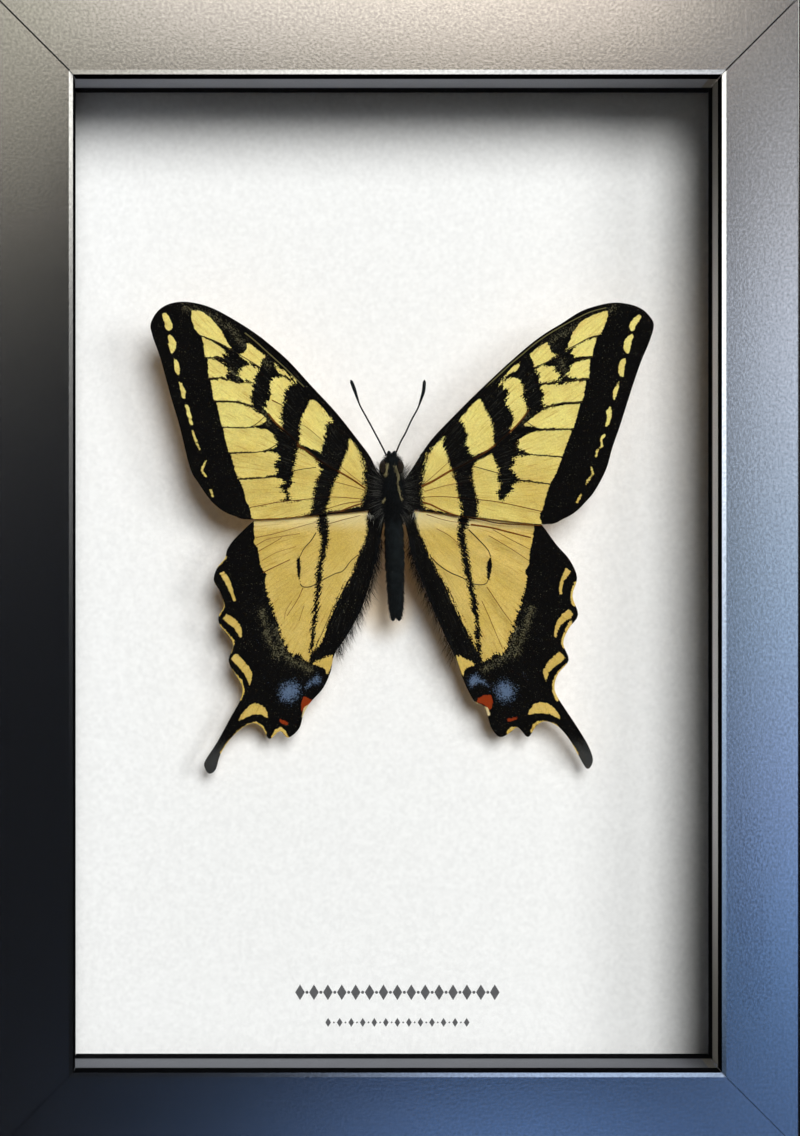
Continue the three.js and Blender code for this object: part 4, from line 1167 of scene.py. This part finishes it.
def wing(name, traced, setting, markings, materials):
    """One wing: its film, veins and tuft, moved from the grid to their place, and its markings' fields."""
    mesh = film(traced["outline"])
    for kind in (DARK, RUST, OLIVE):
        routes = []
        for points, radius, vein_kind in traced["veins"]:
            if vein_kind == kind:
                line = smooth_route(points, 4)
                raised = np.column_stack([line[:, 0], -line[:, 1], np.full(len(line), 0.2)])
                routes.append((raised, np.linspace(1, 0.7, len(line)) * radius / CELL))
        if routes:
            add_part(mesh, rods(routes, 1), kind)
    mesh.verts.ensure_lookup_table()
    flat = np.array([vert.co for vert in mesh.verts])
    grid = np.column_stack([flat[:, 0], -flat[:, 1]])

    ridge = np.min([route_distance(grid, points) for points, radius, kind in traced["veins"]], axis=0)
    away = grid - np.asarray(traced["root"], float)
    angle = np.arctan2(away[:, 1], away[:, 0])
    reach = np.hypot(*away.T) * CELL
    lift = VEIN_RIDGE * np.exp(-(ridge / VEIN_RIDGE_WIDTH) ** 2)
    lift += PLEAT * np.sin(angle * PLEATS) * np.clip(reach / 20, 0, 1)
    lift += flat[:, 2] * CELL
    for vert, place in zip(mesh.verts, placed(grid, setting, lift)):
        vert.co = place * MM
    add_part(mesh, edge_hairs(*traced["tuft"], setting), TUFT)
    made = finished(name + "_film", mesh, materials)

    count = len(grid)
    for field, unmarked in UNMARKED.items():
        values = np.full(len(made.data.vertices), float(unmarked), np.float32)
        if field in markings:
            values[:count] = markings[field](grid)
        made.data.attributes.new(field, "FLOAT", "POINT").data.foreach_set("value", values)
    fan = np.zeros((len(made.data.vertices), 3), np.float32)
    fan[:count] = np.column_stack([angle * SCALE_ROWS, reach / STREAK_LENGTH, np.zeros(count)])
    made.data.attributes.new("fan", "FLOAT_VECTOR", "POINT").data.foreach_set("vector", fan.ravel())
    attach(made, "root")
    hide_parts(name)


def feathering(grid, routes, least, most, width):
    """How far the yellow's border is feathered, in mm: the most near these lines, the least away."""
    away = np.min([route_distance(grid, route) for route in routes], axis=0)
    return least + (most - least) * np.exp(-(away / width) ** 2)


def forewing_markings(traced):
    """The fields of a forewing. Speckles of dull yellow lie along its front edge."""
    return {
        "fray": lambda grid: feathering(grid, traced["stripes"], 0.4, 2.2, 2.4),
        "yellow": lambda grid: np.maximum(inside_any(grid, traced["cells"] + traced["dashes"]),
                                          beside(grid, traced["scratches"], 0.16)),
        "dusk": lambda grid: beside(grid, traced["speckles"], 0.6),
        "pale": lambda grid: beside(grid, FOREWING_HIND_EDGES, -1),
    }


def hindwing_markings(traced):
    """The fields of a hindwing."""
    spot, streak = traced["blue"]

    def yellow(grid):
        """The field without its stripe and crescent, with the patches and the fringe."""
        main = np.minimum(inside(grid, traced["field"]), -inside(grid, traced["stripe"]))
        main = np.minimum(main, -inside(grid, traced["crescent"]))
        main = np.maximum(main, inside_any(grid, traced["patches"]))
        return np.maximum(main, beside(grid, traced["fringe"], 0.26))

    return {
        "yellow": yellow,
        "fray": lambda grid: feathering(grid, traced["feathered"], 0.4, 1.8, 2.4),
        "pale": lambda grid: (HINDWING_PALE_TO - grid[:, 1]) * CELL,
        "dusk": lambda grid: beside(grid, traced["dusk"], 0.75),
        "grey": lambda grid: (grid[:, 1] - TAIL_GREY_FROM) * CELL * 0.5,
        "orange": lambda grid: inside_any(grid, traced["orange"]),
        "cream": lambda grid: beside(grid, traced["cream"], 0.25),
        "blue": lambda grid: np.max([inside(grid, spot) + 0.2, 1.8 * inside(grid, streak) + 0.6,
                                     beside(grid, traced["faint_blue"], 0.1) - 0.35], axis=0),
    }


# ---------------------------------------------------------------- hair

HAIR_BATCH = 400  # hairs that are made together, because a large mesh takes new ones slowly


def hairs(specs, radius):
    """Tapering three-sided hairs, each from a root in a direction with a length, all in mm, as one mesh."""
    whole = bmesh.new()
    for start in range(0, len(specs), HAIR_BATCH):
        batch = bmesh.new()
        for root, direction, length in specs[start:start + HAIR_BATCH]:
            aim = Vector(direction).normalized()
            turn = aim.to_track_quat("Z", "Y").to_matrix().to_4x4()
            middle = Vector(root) + aim * length / 2
            bmesh.ops.create_cone(batch, segments=3, radius1=radius * MM, radius2=0.1 * radius * MM,
                                  depth=length * MM, cap_ends=True,
                                  matrix=Matrix.Translation(middle * MM) @ turn)
        part = bpy.data.meshes.new("batch")
        batch.to_mesh(part)
        batch.free()
        whole.from_mesh(part)
        bpy.data.meshes.remove(part)
    made = bpy.data.meshes.new("hairs")
    whole.to_mesh(made)
    whole.free()
    return made


def edge_hairs(points, aim, length, count, spread, seed, setting):
    """Hair along a line on the grid. Aim is across and down the grid."""
    dice = random.Random(seed)
    line = smooth_route(points, 6)
    specs = []
    for _ in range(count):
        share = dice.random() * (len(line) - 1.001)
        index = int(share)
        spot = line[index] + (line[index + 1] - line[index]) * (share - index)
        spot = spot + np.array([dice.gauss(0, 1.5), dice.gauss(0, 1.5)])
        root = placed([spot], setting, 0.1)[0]
        direction = (aim[0] + dice.gauss(0, spread), -0.1 - abs(dice.gauss(0, 0.5 * spread)),
                     -aim[1] + dice.gauss(0, spread))
        specs.append((root, direction, length * dice.uniform(0.5, 1.2)))
    return hairs(specs, 0.03)


# ---------------------------------------------------------------- body

# Along the body's axis, from the crown to the tail tip: (grid y, radius in mm).
HEAD_AND_THORAX = [
    (453, 0), (455, 0.7), (459, 1.3), (465, 1.6), (470, 1.4), (474, 1.3), (481, 1.8), (489, 2.1),
    (499, 1.95), (507, 1.7), (514, 1.5),
]
ABDOMEN_RINGS = 9
ABDOMEN_GRID_Y = (514, 616)
CROWN_GRID = (391.4, 453)
TAIL_TIP_GRID = (396, 619)


def axis_place(y):
    """A point of the body's axis at a grid height, in mm."""
    crown, tip = placed([CROWN_GRID, TAIL_TIP_GRID], BODY_SET)
    share = (y - CROWN_GRID[1]) / (TAIL_TIP_GRID[1] - CROWN_GRID[1])
    return Vector(crown + (tip - crown) * share)


def body_frame():
    """The turn that takes local Z to the body's axis, and the crown's place."""
    crown, tip = axis_place(CROWN_GRID[1]), axis_place(TAIL_TIP_GRID[1])
    return (tip - crown).to_track_quat("Z", "Y"), crown


def abdomen_radius(y):
    """The abdomen's radius: a long spindle with a shallow crease between its rings."""
    share = (y - ABDOMEN_GRID_Y[0]) / (ABDOMEN_GRID_Y[1] - ABDOMEN_GRID_Y[0])
    spindle = np.interp(share, [0, 0.15, 0.45, 0.75, 0.9, 1], [1.5, 1.66, 1.7, 1.45, 1.3, 0.95])
    fold_shade = abs(math.cos(share * ABDOMEN_RINGS * math.pi)) ** 14
    return spindle * (1 - 0.07 * fold_shade)


def radius_at(y):
    """The body's radius in mm at a grid height."""
    if y < ABDOMEN_GRID_Y[0]:
        return float(np.interp(y, *zip(*HEAD_AND_THORAX)))
    return float(abdomen_radius(min(y, ABDOMEN_GRID_Y[1])))


def body_core():
    """Head, thorax and abdomen, turned about the body's axis."""
    profile = list(HEAD_AND_THORAX)
    for y in np.linspace(515, ABDOMEN_GRID_Y[1], 80):
        profile.append((y, abdomen_radius(y)))
    profile.append((617.5, 0))
    turn, crown = body_frame()
    mesh = bmesh.new()
    rim = [mesh.verts.new((radius * MM, 0, (axis_place(y) - crown).length * MM)) for y, radius in profile]
    edges = [mesh.edges.new(pair) for pair in zip(rim, rim[1:])]
    bmesh.ops.spin(mesh, geom=rim + edges, axis=(0, 0, 1), cent=(0, 0, 0), steps=36,
                   angle=2 * math.pi, use_merge=True)
    bmesh.ops.remove_doubles(mesh, verts=mesh.verts[:], dist=0.001 * MM)
    bmesh.ops.recalc_face_normals(mesh, faces=mesh.faces[:])
    bmesh.ops.transform(mesh, matrix=Matrix.Translation(crown * MM) @ turn.to_matrix().to_4x4(),
                        verts=mesh.verts[:])
    return mesh


def ball(mesh, middle, radii, slot, turn=0.0):
    """Adds a rounded lump of the body, such as an eye or a palp."""
    shape = (Matrix.Translation(Vector(middle) * MM) @ Matrix.Rotation(turn, 4, "Y")
             @ Matrix.Diagonal((*(Vector(radii) * MM), 1)))
    first = len(mesh.faces)
    bmesh.ops.create_uvsphere(mesh, u_segments=24, v_segments=16, radius=1, matrix=shape)
    mesh.faces.ensure_lookup_table()
    for face in mesh.faces[first:]:
        face.material_index = slot


def body_hairs(count, seed):
    """Hair over the body: long and combed back on the thorax, short and close on the abdomen."""
    dice = random.Random(seed)
    turn, _ = body_frame()
    back = turn @ Vector((0, 0, 1))
    specs = []
    for _ in range(count):
        y = dice.choices([dice.uniform(453, 474), dice.uniform(474, 516), dice.uniform(514, 617)],
                         [0.2, 0.42, 0.38])[0]
        angle = dice.uniform(0, 2 * math.pi)
        out = turn @ Vector((math.cos(angle), math.sin(angle), 0))
        root = axis_place(y) + out * radius_at(y) * 0.97
        if y < 474:
            lean, length = -0.3 + 0.05 * (y - 453), dice.uniform(0.4, 0.9)
        elif y < 516:
            lean, length = 0.9 + 0.02 * (y - 474), dice.uniform(0.7, 1.7)
        else:
            lean, length = 2.6, dice.uniform(0.35, 0.75)
        loose = Vector([dice.gauss(0, 0.28) for _ in range(3)])
        specs.append((root, out + back * lean + loose, length))
    return hairs(specs, 0.035)


# Each streak of pale hair: its line on the grid, and how far its hairs stray from it there.
PALE_STREAKS = [
    ([(387, 463), (386.5, 469), (385, 475)], 0.8),
    ([(394, 463), (396, 470), (398.6, 477)], 0.9),
    ([(398.6, 477), (397, 482), (399, 490), (401, 499)], 0.5),
    ([(384.5, 498), (382.5, 501)], 0.6),
]


def pale_streaks(seed):
    """The pale hair lines beside the head and along the sides of the thorax."""
    dice = random.Random(seed)
    specs = []
    for points, spread in PALE_STREAKS:
        line = smooth_route(points, 12)
        for spot in line:
            for _ in range(5):
                place = spot + np.array([dice.gauss(0, spread), dice.gauss(0, 0.6)])
                root = placed([place], BODY_SET, radius_at(place[1]) * 0.9)[0]
                specs.append((root, (dice.gauss(0, 0.25), -0.6, -1), dice.uniform(0.25, 0.5)))
    return hairs(specs, 0.03)


def root_hairs(count, seed):
    """Long hair from the sides of the thorax, fanned out over the roots of the wings."""
    dice = random.Random(seed)
    specs = []
    for _ in range(count):
        side = dice.choice((-1, 1))
        down = dice.random()
        spot = (391.5 + side * dice.uniform(7, 11), 472 + 44 * down)
        root = placed([spot], FOREWING_SET, dice.uniform(0.1, 0.5))[0]
        angle = math.radians(58 - 125 * down + dice.gauss(0, 9))
        specs.append((root, (side * math.cos(angle), -0.06 - 0.1 * dice.random(), math.sin(angle)),
                      dice.uniform(1.4, 3.2)))
    return hairs(specs, 0.032)


def butterfly_body(materials):
    """The hairy body with its eyes and palps. Slots: chitin, eye, black hair, pale hair, grey hair."""
    mesh = body_core()
    for x, y, across, tall in ((382.8, 467, 0.72, 1.25), (399.6, 466.5, 0.7, 1.15)):
        middle = placed([(x, y)], BODY_SET, 0.75)[0]
        ball(mesh, middle, (across, 0.95, tall), 1)
    for x in (388.5, 394):
        middle = placed([(x, 455)], BODY_SET, 0.5)[0]
        ball(mesh, middle, (0.38, 0.45, 0.8), 0)
    for x, tilt in ((393.2, 0.12), (398.2, -0.12)):
        middle = placed([(x, 614)], BODY_SET, 0)[0]
        ball(mesh, middle, (0.5, 0.7, 1.1), 0, tilt)
    add_part(mesh, body_hairs(5200, 5), 2)
    add_part(mesh, pale_streaks(8), 3)
    add_part(mesh, root_hairs(520, 9), 2)
    add_part(mesh, root_hairs(260, 10), 4)
    made = finished("furry_body", mesh, materials)
    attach(made, "root")
    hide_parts("body")


# ---------------------------------------------------------------- antennae

ANTENNAE = {
    "left": [(386, 455), (380, 443), (372, 428), (366, 417), (360, 406), (357, 398), (354, 389),
             (350.5, 380)],
    "right": [(395, 454), (400, 442), (405, 433), (411, 420), (417, 409), (420, 401), (423, 391),
              (424, 380)],
}


def antenna(side, chitin):
    """A jointed feeler, thin as a hair, that swells to a club at its end."""
    places = placed(smooth_route(ANTENNAE[side], 8), ANTENNA_SET) * MM
    share = np.linspace(0, 1, len(places))
    radii = np.interp(share, [0, 0.62, 0.86, 0.97, 1], [0.15, 0.14, 0.32, 0.3, 0.1]) * MM
    joints = 1 + 0.06 * (-1.0) ** np.arange(len(places))
    mesh = bmesh.new()
    add_part(mesh, rods([(places, radii * joints)], 3), 0)
    made = finished("feeler_" + side, mesh, [chitin])
    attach(made, "root")
    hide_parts("antenna_" + side)


# ---------------------------------------------------------------- label place

# Each row: grid height, left and right end, number of lozenges, half width and half height in mm.
ORNAMENT_ROWS = [(990, 300, 494, 15, 0.85, 1.4), (1020, 328, 466, 13, 0.5, 0.8)]
DOT_SHARE = 0.32  # a dot's radius as a share of the lozenges' half width


def grey_printing_ink():
    """Grey printing ink: matt, and a little uneven where the board takes it up."""
    material, tree, shader, place = new_material("grey_printing_ink", "58585a", Roughness=0.8,
                                                 Specular_IOR_Level=0.0)
    uneven = add_node(tree, "ShaderNodeTexNoise", {}, {"Vector": place, "Scale": 1 / 0.4, "Detail": 3.0})
    tint = add_node(tree, "ShaderNodeMix", {"data_type": "RGBA"},
                    {0: uneven.outputs["Fac"], 6: linear("4c4c4e"), 7: linear("6a6a6c")})
    tree.links.new(tint.outputs[2], shader.inputs["Base Color"])
    return material


def printed_ornament():
    """Two rows of lozenges and dots in grey ink on the board, where a specimen's label would be."""
    mesh = bmesh.new()
    for y, left, right, count, across, tall in ORNAMENT_ROWS:
        for index in range(2 * count - 1):
            x = left + (right - left) * index / (2 * count - 2)
            middle = Vector(placed([(x, y)], BOARD_SET, 0.02)[0]) * MM
            lozenge = index % 2 == 0
            size = (across, tall) if lozenge else (DOT_SHARE * across, DOT_SHARE * across)
            shape = (Matrix.Translation(middle) @ Matrix.Rotation(math.pi / 2, 4, "X")
                     @ Matrix.Diagonal((size[0] * MM, size[1] * MM, 1, 1)))
            bmesh.ops.create_circle(mesh, segments=4 if lozenge else 16, radius=1, cap_ends=True,
                                    matrix=shape)
    bmesh.ops.solidify(mesh, geom=mesh.faces[:], thickness=0.01 * MM)
    made = finished("printed_ornament", mesh, [grey_printing_ink()], smooth=False)
    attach(made, "root")


# ---------------------------------------------------------------- the butterfly

def build_butterfly():
    """The four wings, the hairy body and the two antennae."""
    # The last colour of each scaled wing is the painted shade of its folds.
    fore_scales = scaled_wing("forewing_scales", "e5da88", "cfb866", "e0d4a0", "ab8844")
    hind_scales = scaled_wing("hindwing_scales", "e3cb81", "cdb360", "e4d8a8", "a47f3c")
    veins = [vein_skin("dark_vein", "0d0c0b", "53452a"), vein_skin("rust_vein", "1a0f08", "7c4c20"),
             vein_skin("olive_scaled_vein", "6a6440", "8c8250")]
    black_hair = insect_hair("black_insect_hair", "08090a", "222324")
    pale_hair = insect_hair("pale_insect_hair", "8f8358", "c9be92")
    grey_hair = insect_hair("grey_insect_hair", "2c2c2a", "6e6d66")
    white_hair = insect_hair("white_insect_hair", "8c8978", "d8d6cc")
    underside = wing_underside()
    for side, traced in (("left", FOREWING_LEFT), ("right", FOREWING_RIGHT)):
        wing("forewing_" + side, traced, FOREWING_SET, forewing_markings(traced),
             [fore_scales, *veins, white_hair, underside])
    for side, traced in (("left", HINDWING_LEFT), ("right", HINDWING_RIGHT)):
        wing("hindwing_" + side, traced, HINDWING_SET, hindwing_markings(traced),
             [hind_scales, *veins, black_hair, underside])
    chitin = black_chitin()
    butterfly_body([chitin, compound_eye(), black_hair, pale_hair, grey_hair])
    for side in ANTENNAE:
        antenna(side, chitin)


# ---------------------------------------------------------------- the whole

dress_frame()
set_up_studio()
build_butterfly()
printed_ornament()
